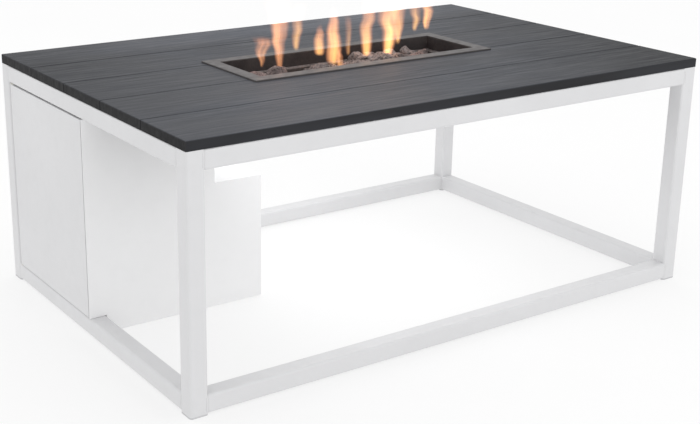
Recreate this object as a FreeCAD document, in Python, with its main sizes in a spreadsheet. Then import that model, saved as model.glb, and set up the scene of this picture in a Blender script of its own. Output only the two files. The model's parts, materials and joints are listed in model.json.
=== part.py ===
import FreeCAD, Part
import Sketcher
import math
import os
import random
import re

# Fire pit table: a plank top on a welded tube frame, a drop-in gas burner with lava rocks,
# and a sheet-metal cabinet for the gas bottle under its left end.
# Millimetres. X runs along the table, Y to the back, Z up, and the origin is the floor's centre.

SIZES = {
    # Table as a whole
    "table_length": 1200,
    "table_width": 780,
    "table_height": 485,
    "top_inset": 1,
    # Planks and their screws
    "plank_thickness": 18,
    "plank_gap": 2,
    "plank_chamfer": 1.2,
    "screw_radius": 2.5,
    "screw_head": 4.5,
    "head_height": 3,
    "screw_bite": 11,
    "pilot_spare": 1,
    "access_gap": 1,
    # Frame tubes and the glides in the legs
    "tube_size": 35,
    "tube_wall": 2,
    "tube_corner": 5,
    "glide_pad": 3,
    "glide_plug": 15,
    # Clearances and small bevels that every piece shares
    "push_fit": 0.05,
    "running_fit": 0.05,
    "seat_gap": 0.3,
    "edge_bevel": 1,
    # Burner rim and pan
    "burner_length": 530,
    "burner_width": 152,
    "rim_width": 27,
    "rim_sheet": 2,
    "rim_edge": 0.8,
    "pan_sheet": 1.5,
    "pan_depth": 80,
    "pan_flange": 15,
    "lug_width": 14,
    "lug_reach": 12,
    "lug_spacing": 180,
    "pan_vent_length": 60,
    "bearer_gap": 8,
    "plank_end_gap": 3,
    # Lava tray
    "tray_sheet": 1.5,
    "tray_gap": 1,
    "ledge_drop": 25,
    "ledge_width": 15,
    "tray_depth": 12,
    "ledge_hole": 4.5,
    "ledge_pitch": 10.5,
    "flame_slot_length": 24,
    "flame_slot_width": 6,
    "flame_slot_pitch": 40,
    "window_length": 40,
    "window_width": 16,
    "rock_pitch_x": 45,
    "rock_pitch_y": 38,
    "rock_free_end": 60,
    "rock_back_start": 10,
    # Burner loop, electrodes and injector
    "loop_length": 400,
    "loop_spacing": 60,
    "loop_width": 20,
    "loop_height": 14,
    "loop_wall": 1.5,
    "loop_lift": 10,
    "port_radius": 1.5,
    "port_pitch": 20,
    "mixer_length": 40,
    "mixer_radius": 8,
    "mixer_bore": 6.5,
    "igniter_place": 135,
    "bracket_width": 24,
    "bracket_foot": 20,
    "bracket_shelf": 32,
    "bracket_setback": 15,
    "bracket_drop": 5,
    "electrode_spacing": 14,
    "electrode_tail": 12,
    "collar_reach": 1.5,
    "collar_height": 3,
    "spark_radius": 3,
    "spark_height": 21,
    "ceramic_height": 10,
    "wire_radius": 1,
    "sensor_radius": 2.5,
    "sensor_height": 19,
    "injector_radius": 6,
    "injector_tail": 2,
    "jet_radius": 4,
    "jet_length": 27,
    "jet_taper": 4,
    "jet_tip": 1.5,
    "nut_radius": 10,
    "nut_height": 5,
    # Cabinet sheets
    "cabinet_column": 278,
    "cabinet_length": 386,
    "cabinet_depth": 351,
    "low_box_height": 265,
    "panel_sheet": 2,
    "panel_gap": 0.5,
    "tab_reach": 12,
    "tab_inset": 20,
    "fold_width": 14,
    "fold_inset": 16,
    "floor_fold": 20,
    "back_lap": 15,
    "foot_radius": 15,
    "foot_inset": 30,
    "vent_length": 120,
    "vent_width": 8,
    "vent_pitch": 50,
    "vent_inset": 40,
    "hose_hole": 13,
    "panel_screw": 2,
    "panel_screw_head": 4,
    "panel_screw_rise": 2,
    "panel_screw_bite": 5,
    "panel_screw_inset": 60,
    "rivet_inset": 20,
    "rivet_height": 1.4,
    # Door, its pivots and its latch
    "door_depth": 16,
    "door_gap": 2,
    "door_front_gap": 3,
    "door_stile": 16,
    "door_edge": 7.9,
    "pivot_inset": 8,
    "pivot_radius": 4,
    "pivot_depth": 14,
    "pivot_tail": 5,
    "bush_wall": 2,
    "bush_flange": 2,
    "pin_bevel": 0.5,
    "jamb_width": 25,
    "jamb_setback": 18,
    "latch_height": 235,
    "latch_inset": 15,
    "latch_radius": 7,
    "latch_length": 50,
    "latch_wall": 2,
    "latch_flange": 2.5,
    "plunger_radius": 4,
    "plunger_travel": 3,
    "plunger_spare": 10,
    "magnet_radius": 5,
    "magnet_height": 3,
    "strike_width": 18,
    "strike_height": 40,
    "strike_sheet": 1.5,
    # Control plate with knob and push button
    "plate_width": 160,
    "plate_height": 84,
    "plate_centre": 156,
    "plate_drop": 5,
    "knob_offset": 36,
    "knob_radius": 22,
    "knob_height": 21,
    "knob_travel": 3,
    "knob_grip": 7,
    "knob_skirt": 6,
    "knob_roof": 6,
    "knob_lift": 0.5,
    "stem_gap": 2,
    "stem_radius": 4,
    "stem_seat": 27,
    "pin_radius": 2.5,
    "pin_length": 19,
    "button_radius": 7,
    "button_travel": 5,
    "button_tail": 26,
    "igniter_radius": 9,
    "igniter_length": 50,
    "bezel_radius": 13,
    "bezel_height": 3,
    "terminal_radius": 3,
    "terminal_length": 10,
    # Valve, hose nozzle and gas pipe
    "valve_width": 36,
    "valve_length": 53,
    "outlet_seat": 27,
    "boss_radius": 8,
    "boss_length": 10,
    "bore_spare": 1,
    "pipe_radius": 5,
    "pipe_bend": 15,
    "pipe_wall_gap": 18,
    "grommet_lip": 2,
    "grommet_wall": 1.5,
    "hose_radius": 4,
    "hose_length": 20,
    "hex_radius": 8,
    "hex_height": 8,
}

document = FreeCAD.newDocument("fire_pit_table")
sheet = document.addObject("Spreadsheet::Sheet", "Sizes")
for row, (size_name, size_value) in enumerate(SIZES.items(), start=1):
    sheet.set("A%d" % row, size_name)
    sheet.set("B%d" % row, str(size_value))
    sheet.setAlias("B%d" % row, size_name)
document.recompute()

nodes = {}

# Counts of what repeats
PLANK_COUNT = 5
VENT_COUNT = 6
SLOT_COUNT = 11
PORT_COUNT = 19

# Places that several pieces share, written as formulas of the sizes
FRAME_X = "(table_length / 2)"
FRAME_Y = "(table_width / 2)"
TOP_X = "(table_length / 2 - top_inset)"
TOP_Y = "(table_width / 2 - top_inset)"
INSIDE_X = f"({FRAME_X} - tube_size)"
INSIDE_Y = f"({FRAME_Y} - tube_size)"
TOP_UNDER = "(table_height - plank_thickness)"
HIGH_RAIL = f"({TOP_UNDER} - tube_size)"
LOW_RAIL = "(glide_pad + tube_size)"
PLANK_WIDTH = f"((2 * {TOP_Y} - {PLANK_COUNT - 1} * plank_gap) / {PLANK_COUNT})"
PLANK_PITCH = f"({PLANK_WIDTH} + plank_gap)"
PAN_X = "(burner_length / 2 + pan_sheet)"
PAN_Y = "(burner_width / 2 + pan_sheet)"
PAN_FLOOR = "(table_height - pan_depth + pan_sheet)"
LEDGE = "(table_height - ledge_drop)"
TRAY_FLOOR = f"({LEDGE} - tray_depth)"
BEARER_X = f"({PAN_X} + bearer_gap + tube_size / 2)"
LOOP_Z = f"({PAN_FLOOR} + loop_lift)"
GAS_Y = "(loop_spacing / 2)"
GAS_Z = f"({LOOP_Z} + loop_height / 2)"
CABINET_Y = f"({INSIDE_Y} - cabinet_depth)"
COLUMN_X = f"(cabinet_column - {FRAME_X})"
BOX_X = f"(cabinet_length - {FRAME_X})"
BACK_Y = f"({INSIDE_Y} - panel_sheet)"
PIVOT_X = f"(pivot_inset - {FRAME_X})"
PIVOT_Y = f"({INSIDE_Y} - door_gap - pivot_inset)"
DOOR_LOW = f"({LOW_RAIL} + door_gap)"
DOOR_HIGH = f"({HIGH_RAIL} - door_gap)"
JAMB_X = f"(jamb_setback - {FRAME_X})"
LATCH_Y = f"({CABINET_Y} + panel_sheet + latch_inset)"
PLATE_X = f"(plate_centre - {FRAME_X})"
PLATE_Y = f"({INSIDE_Y} + panel_sheet)"
PLATE_Z = f"({HIGH_RAIL} - plate_drop - plate_height / 2)"
KNOB_X = f"({PLATE_X} + knob_offset)"
BUTTON_X = f"({PLATE_X} - knob_offset)"
VALVE_Y = f"({BACK_Y} - outlet_seat)"


def formula(text):
    return re.sub(r"[a-z]+(?:_[a-z]+)+", lambda word: "Sizes." + word.group(0), text)


def bind(item, field, text):
    item.setExpression(field, formula(text))


def body(label):
    owner = document.addObject("PartDesign::Body", label)
    owner.Label = label
    return owner


def node(label):
    owner = body(label)
    nodes[label] = owner
    return owner


def group(label, members):
    together = document.addObject("Part::Compound", label)
    together.Links = members
    together.Label = label
    nodes[label] = together
    return together


def origin_part(owner, role):
    return [part for part in owner.Origin.OriginFeatures if part.Role == role][0]


def block(owner, name, low, high, cut=False):
    kind = "PartDesign::SubtractiveBox" if cut else "PartDesign::AdditiveBox"
    box = owner.newObject(kind, name)
    for field, start, end in zip(("Length", "Width", "Height"), low, high):
        bind(box, field, f"({end}) - ({start})")
    for letter, start in zip("xyz", low):
        bind(box, "Placement.Base." + letter, start)
    return box


AXES = {
    "x": FreeCAD.Vector(1, 0, 0),
    "y": FreeCAD.Vector(0, 1, 0),
    "z": FreeCAD.Vector(0, 0, 1),
    "-x": FreeCAD.Vector(-1, 0, 0),
    "-y": FreeCAD.Vector(0, -1, 0),
    "-z": FreeCAD.Vector(0, 0, -1),
}


def aim(item, place, axis):
    turn = FreeCAD.Rotation(AXES["z"], AXES[axis])
    item.Placement = FreeCAD.Placement(FreeCAD.Vector(), turn)
    for letter, text in zip("xyz", place):
        bind(item, "Placement.Base." + letter, text)


def rod(owner, name, place, axis, radius, length, cut=False):
    kind = "PartDesign::SubtractiveCylinder" if cut else "PartDesign::AdditiveCylinder"
    item = owner.newObject(kind, name)
    bind(item, "Radius", radius)
    bind(item, "Height", length)
    aim(item, place, axis)
    return item


def outline(owner, name, role, points, offset):
    sketch = owner.newObject("Sketcher::SketchObject", name)
    sketch.AttachmentSupport = [(origin_part(owner, role), "")]
    sketch.MapMode = "FlatFace"
    count = len(points)
    turns = [2 * math.pi * i / count for i in range(count)]
    start = [FreeCAD.Vector(10 * math.cos(turn), 10 * math.sin(turn), 0) for turn in turns]
    for i in range(count):
        sketch.addGeometry(Part.LineSegment(start[i], start[(i + 1) % count]), False)
    for i in range(count):
        sketch.addConstraint(Sketcher.Constraint("Coincident", i, 2, (i + 1) % count, 1))
    for i, place in enumerate(points):
        for kind, text, value in zip(("DistanceX", "DistanceY"), place, (start[i].x, start[i].y)):
            number = sketch.addConstraint(Sketcher.Constraint(kind, i, 1, value))
            sketch.renameConstraint(number, "%s%d" % (kind, i))
            bind(sketch, "Constraints.%s%d" % (kind, i), text)
    bind(sketch, "AttachmentOffset.Base.z", offset)
    return sketch


def turned(owner, profile, place, axis):
    # The profile is a list of (radius, height) corners, turned about the piece's own Z axis
    sketch = outline(owner, owner.Label + "_profile", "XZ_Plane", profile, "0")
    turn = owner.newObject("PartDesign::Revolution", owner.Label + "_turned")
    turn.Profile = sketch
    turn.ReferenceAxis = (sketch, ["V_Axis"])
    turn.Angle = 360
    aim(owner, place, axis)
    return owner


def edges_along(shape, axis, keep):
    names = []
    for number, edge in enumerate(shape.Edges, start=1):
        if len(edge.Vertexes) == 2:
            step = edge.Vertexes[1].Point - edge.Vertexes[0].Point
            if step.Length > 0 and abs(step.dot(AXES[axis])) > 0.999 * step.Length:
                if keep(edge.CenterOfMass, shape.BoundBox):
                    names.append("Edge%d" % number)
    return names


def every_edge(point, box):
    return True


def on_top(point, box):
    return point.z > box.ZMax - 0.001


def dress(owner, kind, field, base, axes, size, keep=every_edge):
    document.recompute()
    names = [name for axis in axes for name in edges_along(base.Shape, axis, keep)]
    item = owner.newObject("PartDesign::" + kind, "%s_%s" % (owner.Label, kind.lower()))
    item.Base = (base, names)
    bind(item, field, size)
    return item


def row(owner, feature, axis, pitch, count):
    document.recompute()
    item = owner.newObject("PartDesign::LinearPattern", feature.Name + "_row")
    item.Originals = [feature]
    item.Direction = (origin_part(owner, axis), [""])
    bind(item, "Length", f"({count} - 1) * {pitch}")
    bind(item, "Occurrences", str(count))
    owner.Tip = item
    return item


def first_of(count, pitch):
    # Where a row of this many starts when its middle is at zero
    return f"(-({count} - 1) / 2 * {pitch})"


def tube(label, low, high, axis):
    owner = node(label)
    outer = block(owner, label + "_section", low, high)
    dress(owner, "Fillet", "Radius", outer, [axis], "tube_corner")
    wall = ["" if letter == axis else " - tube_wall" for letter in "xyz"]
    inner_low = [f"{start}{inset.replace('-', '+')}" for start, inset in zip(low, wall)]
    inner_high = [f"{end}{inset}" for end, inset in zip(high, wall)]
    block(owner, label + "_bore", inner_low, inner_high, cut=True)
    return owner


# Frame: legs of full height, with the top and bottom rails welded between them
SIDES_X = {"left": ("-" + FRAME_X, "-" + INSIDE_X), "right": (INSIDE_X, FRAME_X)}
SIDES_Y = {"front": ("-" + FRAME_Y, "-" + INSIDE_Y), "back": (INSIDE_Y, FRAME_Y)}
LEVELS = {"top": (HIGH_RAIL, TOP_UNDER), "bottom": ("glide_pad", LOW_RAIL)}


def make_frame():
    frame = {}
    for side_y, (y0, y1) in SIDES_Y.items():
        for side_x, (x0, x1) in SIDES_X.items():
            label = "leg_%s_%s" % (side_y, side_x)
            frame[label] = tube(label, (x0, y0, "glide_pad"), (x1, y1, TOP_UNDER), "z")
    for level, (z0, z1) in LEVELS.items():
        for side_y, (y0, y1) in SIDES_Y.items():
            label = "%s_rail_%s" % (level, side_y)
            frame[label] = tube(label, ("-" + INSIDE_X, y0, z0), (INSIDE_X, y1, z1), "x")
        for side_x, (x0, x1) in SIDES_X.items():
            label = "%s_rail_%s" % (level, side_x)
            frame[label] = tube(label, (x0, "-" + INSIDE_Y, z0), (x1, INSIDE_Y, z1), "y")
    for side, sign in (("left", "-"), ("right", "")):
        label = "bearer_" + side
        low = (f"{sign}{BEARER_X} - tube_size / 2", "-" + INSIDE_Y, HIGH_RAIL)
        high = (f"{sign}{BEARER_X} + tube_size / 2", INSIDE_Y, TOP_UNDER)
        frame[label] = tube(label, low, high, "y")
    return frame


def make_glides():
    glides = []
    for x0, x1 in SIDES_X.values():
        for y0, y1 in SIDES_Y.values():
            glide = body("floor_glide_%d" % (len(glides) + 1))
            pad = block(glide, glide.Label + "_pad", (x0, y0, "0"), (x1, y1, "glide_pad"))
            dress(glide, "Fillet", "Radius", pad, ["z"], "tube_corner")
            inset = "(tube_wall + running_fit)"
            low = (f"{x0} + {inset}", f"{y0} + {inset}", "glide_pad")
            high = (f"{x1} - {inset}", f"{y1} - {inset}", "glide_pad + glide_plug")
            block(glide, glide.Label + "_plug", low, high)
            glides.append(glide)
    return group("floor_glides", glides)


# Top: five planks along the table, the middle one cut through for the burner
def plank(label, x0, x1, number):
    owner = node(label)
    y0 = f"{number} * {PLANK_PITCH} - {TOP_Y}"
    low = (x0, y0, TOP_UNDER)
    high = (x1, f"{y0} + {PLANK_WIDTH}", "table_height")
    board = block(owner, label + "_board", low, high)
    dress(owner, "Chamfer", "Size", board, ["x", "y"], "plank_chamfer", on_top)
    return owner


def make_planks():
    cut = f"({PAN_X} + plank_end_gap)"
    planks = {}
    for number, label in ((0, "plank_front"), (1, "plank_middle_front"), (3, "plank_middle_back"),
                          (4, "plank_back")):
        planks[label] = (plank(label, "-" + TOP_X, TOP_X, number), number)
    planks["plank_centre_left"] = (plank("plank_centre_left", "-" + TOP_X, "-" + cut, 2), 2)
    planks["plank_centre_right"] = (plank("plank_centre_right", cut, TOP_X, 2), 2)
    return planks


# Screws stand inside the cross tubes and reach up into every plank
CROSS_TUBES = {
    "top_rail_left": f"(tube_size / 2 - {FRAME_X})",
    "bearer_left": f"(-{BEARER_X})",
    "bearer_right": BEARER_X,
    "top_rail_right": f"({FRAME_X} - tube_size / 2)",
}


def make_plank_screws(frame, planks):
    screws = []
    middle = PLANK_COUNT // 2
    for cross, x in CROSS_TUBES.items():
        for number in range(PLANK_COUNT):
            y = f"({number} - {middle}) * {PLANK_PITCH}"
            place = (x, y, HIGH_RAIL)
            hole = "%s_%d" % (cross, number)
            tube_body = frame[cross]
            rod(tube_body, hole + "_access", place, "z", "screw_head + access_gap", "tube_wall", cut=True)
            place = (x, y, f"{TOP_UNDER} - tube_wall")
            rod(tube_body, hole + "_clearance", place, "z", "screw_radius + push_fit", "tube_wall", cut=True)
            screw = body("plank_screw_%d" % (len(screws) + 1))
            profile = [("0", "-head_height"), ("screw_head", "-head_height"), ("screw_head", "0"),
                       ("screw_radius", "0"), ("screw_radius", "tube_wall + screw_bite"),
                       ("0", "tube_wall + screw_bite")]
            turned(screw, profile, place, "z")
            screws.append(screw)
            for label, (board, plank_number) in planks.items():
                side = label.split("_")[-1]
                if plank_number == number and (number != middle or side in cross):
                    depth = "screw_bite + pilot_spare"
                    place = (x, y, TOP_UNDER)
                    rod(board, hole + "_pilot", place, "z", "screw_radius + push_fit", depth, cut=True)
    return group("plank_screws", screws)


# Burner: a rim, a folded drop-in pan, a perforated tray and a ported loop under it
def make_rim():
    owner = node("burner_rim")
    x1 = "(burner_length / 2 + rim_width)"
    y1 = "(burner_width / 2 + rim_width)"
    z1 = "table_height + pan_sheet + rim_sheet"
    plate = block(owner, "rim_plate", ("-" + x1, "-" + y1, "table_height"), (x1, y1, z1))
    dress(owner, "Chamfer", "Size", plate, ["x", "y"], "rim_edge", on_top)
    low = (f"rim_sheet - {x1}", f"rim_sheet - {y1}", "table_height")
    high = (f"{x1} - rim_sheet", f"{y1} - rim_sheet", "table_height + pan_sheet")
    block(owner, "rim_recess", low, high, cut=True)
    low = ("-burner_length / 2", "-burner_width / 2", "table_height")
    block(owner, "rim_opening", low, ("burner_length / 2", "burner_width / 2", z1), cut=True)
    return owner


def make_pan():
    owner = node("burner_pan")
    top = "table_height + pan_sheet"
    block(owner, "pan_walls", ("-" + PAN_X, "-" + PAN_Y, "table_height - pan_depth"), (PAN_X, PAN_Y, top))
    x1 = "(burner_length / 2 + pan_flange)"
    y1 = "(burner_width / 2 + pan_flange)"
    block(owner, "pan_flange", ("-" + x1, "-" + y1, "table_height"), (x1, y1, top))
    low = ("-burner_length / 2", "-burner_width / 2", PAN_FLOOR)
    block(owner, "pan_hollow", low, ("burner_length / 2", "burner_width / 2", top), cut=True)
    lug_top = f"({LEDGE} - tray_sheet)"
    for number in (-1, 0, 1):
        for name, sign in (("front", -1), ("back", 1)):
            x = f"({number} * lug_spacing)"
            reach = ("burner_width / 2 - lug_reach", "burner_width / 2")
            if sign < 0:
                reach = ("-burner_width / 2", "lug_reach - burner_width / 2")
            low = (f"{x} - lug_width / 2", reach[0], f"{lug_top} - pan_sheet")
            high = (f"{x} + lug_width / 2", reach[1], lug_top)
            block(owner, "pan_lug_%s_%d" % (name, number + 1), low, high)
    place = ("-" + PAN_X, GAS_Y, GAS_Z)
    rod(owner, "pan_gas_hole", place, "x", "injector_radius + push_fit", "pan_sheet", cut=True)
    x = first_of(VENT_COUNT, "vent_pitch")
    low = (f"{x} - vent_width / 2", "-pan_vent_length / 2", "table_height - pan_depth")
    high = (f"{x} + vent_width / 2", "pan_vent_length / 2", PAN_FLOOR)
    vent = block(owner, "pan_vent", low, high, cut=True)
    row(owner, vent, "X_Axis", "vent_pitch", VENT_COUNT)
    return owner


def make_tray():
    owner = node("lava_tray")
    x1 = "(burner_length / 2 - tray_gap)"
    y1 = "(burner_width / 2 - tray_gap)"
    block(owner, "tray_ledge", ("-" + x1, "-" + y1, f"{LEDGE} - tray_sheet"), (x1, y1, LEDGE))
    x2 = f"({x1} - ledge_width)"
    y2 = f"({y1} - ledge_width)"
    low = (f"-{x2} - tray_sheet", f"-{y2} - tray_sheet", f"{TRAY_FLOOR} - tray_sheet")
    block(owner, "tray_well", low, (f"{x2} + tray_sheet", f"{y2} + tray_sheet", LEDGE))
    block(owner, "tray_hollow", ("-" + x2, "-" + y2, TRAY_FLOOR), (x2, y2, LEDGE), cut=True)

    low = ("-igniter_place - window_length / 2", "-window_width / 2", f"{TRAY_FLOOR} - tray_sheet")
    high = ("window_length / 2 - igniter_place", "window_width / 2", TRAY_FLOOR)
    block(owner, "tray_igniter_window", low, high, cut=True)
    for name, sign in (("front", "-"), ("back", "")):
        x = first_of(SLOT_COUNT, "flame_slot_pitch")
        y = f"{sign}{GAS_Y}"
        low = (f"{x} - flame_slot_length / 2", f"{y} - flame_slot_width / 2", f"{TRAY_FLOOR} - tray_sheet")
        high = (f"{x} + flame_slot_length / 2", f"{y} + flame_slot_width / 2", TRAY_FLOOR)
        slot = block(owner, "tray_slot_" + name, low, high, cut=True)
        row(owner, slot, "X_Axis", "flame_slot_pitch", SLOT_COUNT)
    make_ledge_holes(owner, x2, y2)


def make_ledge_holes(owner, x2, y2):
    # One square hole at each pitch, as many as fit along each side of the well
    def hole(name, x, y):
        low = (f"{x} - ledge_hole / 2", f"{y} - ledge_hole / 2", f"{LEDGE} - tray_sheet")
        high = (f"{x} + ledge_hole / 2", f"{y} + ledge_hole / 2", LEDGE)
        return block(owner, name, low, high, cut=True)

    long_count = f"(floor(({x2} * 2 - ledge_width) / ledge_pitch) + 1)"
    short_count = f"(floor({y2} * 2 / ledge_pitch) + 1)"
    middle = "(ledge_width + tray_sheet) / 2"
    for name, sign in (("front", "-"), ("back", "")):
        x = first_of(long_count, "ledge_pitch")
        first = hole("tray_hole_" + name, x, f"{sign}({y2} + {middle})")
        row(owner, first, "X_Axis", "ledge_pitch", long_count)
    for name, sign in (("left", "-"), ("right", "")):
        y = first_of(short_count, "ledge_pitch")
        first = hole("tray_hole_" + name, f"{sign}({x2} + {middle})", y)
        row(owner, first, "Y_Axis", "ledge_pitch", short_count)


def make_burner_loop():
    owner = node("burner_loop")
    x1 = "(loop_length / 2)"
    y1 = "(loop_spacing / 2 + loop_width / 2)"
    top = f"{LOOP_Z} + loop_height"
    wall = "loop_wall"
    block(owner, "loop_outside", ("-" + x1, "-" + y1, LOOP_Z), (x1, y1, top))
    low = (f"{wall} - {x1}", f"{wall} - {y1}", f"{LOOP_Z} + {wall}")
    block(owner, "loop_channel", low, (f"{x1} - {wall}", f"{y1} - {wall}", f"{top} - {wall}"), cut=True)
    x2 = f"({x1} - loop_width)"
    y2 = f"({y1} - loop_width)"
    low = (f"-{x2} - {wall}", f"-{y2} - {wall}", LOOP_Z)
    block(owner, "loop_core", low, (f"{x2} + {wall}", f"{y2} + {wall}", top))
    block(owner, "loop_window", ("-" + x2, "-" + y2, LOOP_Z), (x2, y2, top), cut=True)
    place = (f"-{x1} - mixer_length", GAS_Y, GAS_Z)
    rod(owner, "mixer_tube", place, "x", "mixer_radius", f"mixer_length + {wall}")
    rod(owner, "mixer_bore", place, "x", "mixer_bore", f"mixer_length + {wall}", cut=True)
    for name, sign in (("front", "-"), ("back", "")):
        place = (first_of(PORT_COUNT, "port_pitch"), f"{sign}{GAS_Y}", f"{top} - {wall}")
        port = rod(owner, "port_" + name, place, "z", "port_radius", wall, cut=True)
        row(owner, port, "X_Axis", "port_pitch", PORT_COUNT)
    return owner


def make_loop_brackets():
    brackets = []
    for sign in ("-", ""):
        bracket = body("loop_bracket_%d" % (len(brackets) + 1))
        middle = f"({sign}loop_length / 4)"
        y1 = "(loop_spacing / 2 + loop_width / 2)"
        low = (f"{middle} - loop_width / 2", "-" + y1, PAN_FLOOR)
        block(bracket, bracket.Label + "_channel", low, (f"{middle} + loop_width / 2", y1, LOOP_Z))
        low = (f"{middle} - loop_width / 2", f"pan_sheet - {y1}", PAN_FLOOR)
        high = (f"{middle} + loop_width / 2", f"{y1} - pan_sheet", f"{LOOP_Z} - pan_sheet")
        block(bracket, bracket.Label + "_hollow", low, high, cut=True)
        brackets.append(bracket)
    return group("loop_brackets", brackets)


ELECTRODES = {
    "spark_electrode": ("(-igniter_place - electrode_spacing / 2)", "spark_radius"),
    "flame_sensor": ("(electrode_spacing / 2 - igniter_place)", "sensor_radius"),
}
BRACKET_SHELF = f"({LOOP_Z} + loop_height - bracket_drop)"


def make_electrode_bracket():
    owner = node("electrode_bracket")
    x0 = "(-igniter_place - bracket_setback)"
    y0 = "-bracket_width / 2"
    y1 = "bracket_width / 2"
    low = (x0, y0, PAN_FLOOR)
    block(owner, "bracket_foot", low, (f"{x0} + bracket_foot", y1, f"{PAN_FLOOR} + pan_sheet"))
    block(owner, "bracket_back", low, (f"{x0} + pan_sheet", y1, BRACKET_SHELF))
    low = (x0, y0, f"{BRACKET_SHELF} - pan_sheet")
    block(owner, "bracket_shelf", low, (f"{x0} + bracket_shelf", y1, BRACKET_SHELF))
    for label, (x, radius) in ELECTRODES.items():
        place = (x, "0", f"{BRACKET_SHELF} - pan_sheet")
        rod(owner, label + "_hole", place, "z", f"{radius} + push_fit", "pan_sheet", cut=True)


def make_electrodes():
    x, radius = ELECTRODES["spark_electrode"]
    profile = collared(radius) + [(radius, "ceramic_height"),
                                  ("wire_radius", "ceramic_height + edge_bevel"),
                                  ("wire_radius", "spark_height"), ("0", "spark_height")]
    turned(node("spark_electrode"), profile, (x, "0", BRACKET_SHELF), "z")
    x, radius = ELECTRODES["flame_sensor"]
    profile = collared(radius) + [(radius, "sensor_height - 3 * edge_bevel"),
                                  (f"{radius} - edge_bevel", "sensor_height"), ("0", "sensor_height")]
    turned(node("flame_sensor"), profile, (x, "0", BRACKET_SHELF), "z")


def collared(radius):
    # The lower half of an electrode: a tail under the bracket and a collar that sits on it
    collar = f"{radius} + collar_reach"
    return [("0", "-electrode_tail"), (radius, "-electrode_tail"), (radius, "0"), (collar, "0"),
            (collar, "collar_height"), (radius, "collar_height + edge_bevel")]


def make_injector():
    owner = node("gas_injector")
    wall = "pan_sheet"
    tail = "-nut_height - injector_tail"
    tip = f"{wall} + jet_length + jet_taper"
    collar = f"{wall} + collar_height"
    profile = [("0", tail), ("injector_radius", tail), ("injector_radius", wall), ("nut_radius", wall),
               ("nut_radius", collar), ("jet_radius", f"{collar} + 2 * edge_bevel"),
               ("jet_radius", f"{wall} + jet_length"), ("jet_tip", tip), ("0", tip)]
    turned(owner, profile, ("-" + PAN_X, GAS_Y, GAS_Z), "x")
    nut = node("injector_nut")
    bore = "injector_radius + push_fit"
    profile = [(bore, "0"), ("nut_radius", "0"), ("nut_radius", "nut_height"), (bore, "nut_height")]
    turned(nut, profile, (f"-{PAN_X} - nut_height", GAS_Y, GAS_Z), "x")


def size(name):
    return getattr(sheet, name)


# Rock sizes as shares of the space that each has, drawn evenly between the two
ROCK_LENGTH = (0.76, 0.95)
ROCK_WIDTH = (0.74, 0.86)
ROCK_HEIGHT = (0.64, 0.74)
ROCK_STRETCHES = (1.0, 0.9, 0.84)
ROCK_TURN = (15, 75)
ROCK_SINK = 0.06


def lava_rock(rng, longest):
    # What three turned blocks have in common
    rock = None
    for stretch in ROCK_STRETCHES:
        length = longest * stretch
        width = rng.uniform(*ROCK_WIDTH) * longest
        height = rng.uniform(*ROCK_HEIGHT) * length
        shape = Part.makeBox(length, width, height)
        shape.translate(FreeCAD.Vector(-length / 2, -width / 2, -height / 2))
        axis = FreeCAD.Vector(rng.uniform(-1, 1), rng.uniform(-1, 1), rng.uniform(0.5, 1))
        shape.rotate(FreeCAD.Vector(), axis, rng.uniform(*ROCK_TURN))
        rock = shape if rock is None else rock.common(shape)
    return rock


def make_rocks():
    # A layer of rocks, each cut flat where it lies on the tray. The tray stays bare round the
    # electrodes, at its right end and at the back left.
    rng = random.Random(7)
    pitch_x = size("rock_pitch_x")
    pitch_y = size("rock_pitch_y")
    margin = 2 * (size("tray_gap") + size("ledge_width"))
    columns = int((size("burner_length") - margin) / pitch_x)
    rows = int((size("burner_width") - margin) / pitch_y)
    floor = size("table_height") - size("ledge_drop") - size("tray_depth")
    free = (size("window_length") + size("bracket_foot")) / 2
    last = (size("burner_length") - margin) / 2 - size("rock_free_end")
    rocks = []
    for column in range(columns):
        for line in range(rows):
            x = (column - (columns - 1) / 2) * pitch_x
            y = (line - (rows - 1) / 2) * pitch_y
            at_electrodes = abs(x + size("igniter_place")) < free and abs(y) < pitch_y / 2
            at_back_left = line == rows - 1 and x < size("rock_back_start")
            if x > last or at_electrodes or at_back_left:
                continue
            longest = rng.uniform(*ROCK_LENGTH) * pitch_x
            rock = lava_rock(rng, longest)
            box = rock.BoundBox
            seat = floor - ROCK_SINK * longest - box.ZMin
            rock.translate(FreeCAD.Vector(x - box.Center.x, y - box.Center.y, seat))
            above = Part.makeBox(2 * pitch_x, 2 * pitch_y, 2 * pitch_x)
            above.translate(FreeCAD.Vector(x - pitch_x, y - pitch_y, floor))
            rocks.append(rock.common(above).Solids[0])
    feature = document.addObject("Part::Feature", "lava_rocks")
    feature.Label = "lava_rocks"
    feature.Shape = Part.Compound(rocks)
    nodes["lava_rocks"] = feature


# Cabinet: folded sheets that fill the back left of the frame, with a tall column beside a low box
def cabinet_side_outline(left_edge):
    return [
        (f"panel_gap - {INSIDE_X}", "glide_pad"),
        (BOX_X, "glide_pad"),
        (BOX_X, "low_box_height"),
        (COLUMN_X, "low_box_height"),
        (COLUMN_X, f"{TOP_UNDER} - panel_gap"),
        (f"panel_gap - {INSIDE_X}", f"{TOP_UNDER} - panel_gap"),
        (f"panel_gap - {INSIDE_X}", f"{HIGH_RAIL} - panel_gap"),
        (left_edge, f"{HIGH_RAIL} - panel_gap"),
        (left_edge, f"{LOW_RAIL} + panel_gap"),
        (f"panel_gap - {INSIDE_X}", f"{LOW_RAIL} + panel_gap"),
    ]


# The two upright seams where tabs of the front and back are riveted to the side sheets
SEAMS = {
    "low_box_side": (BOX_X, "glide_pad", "low_box_height"),
    "column_side": (COLUMN_X, "low_box_height", HIGH_RAIL),
}


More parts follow.
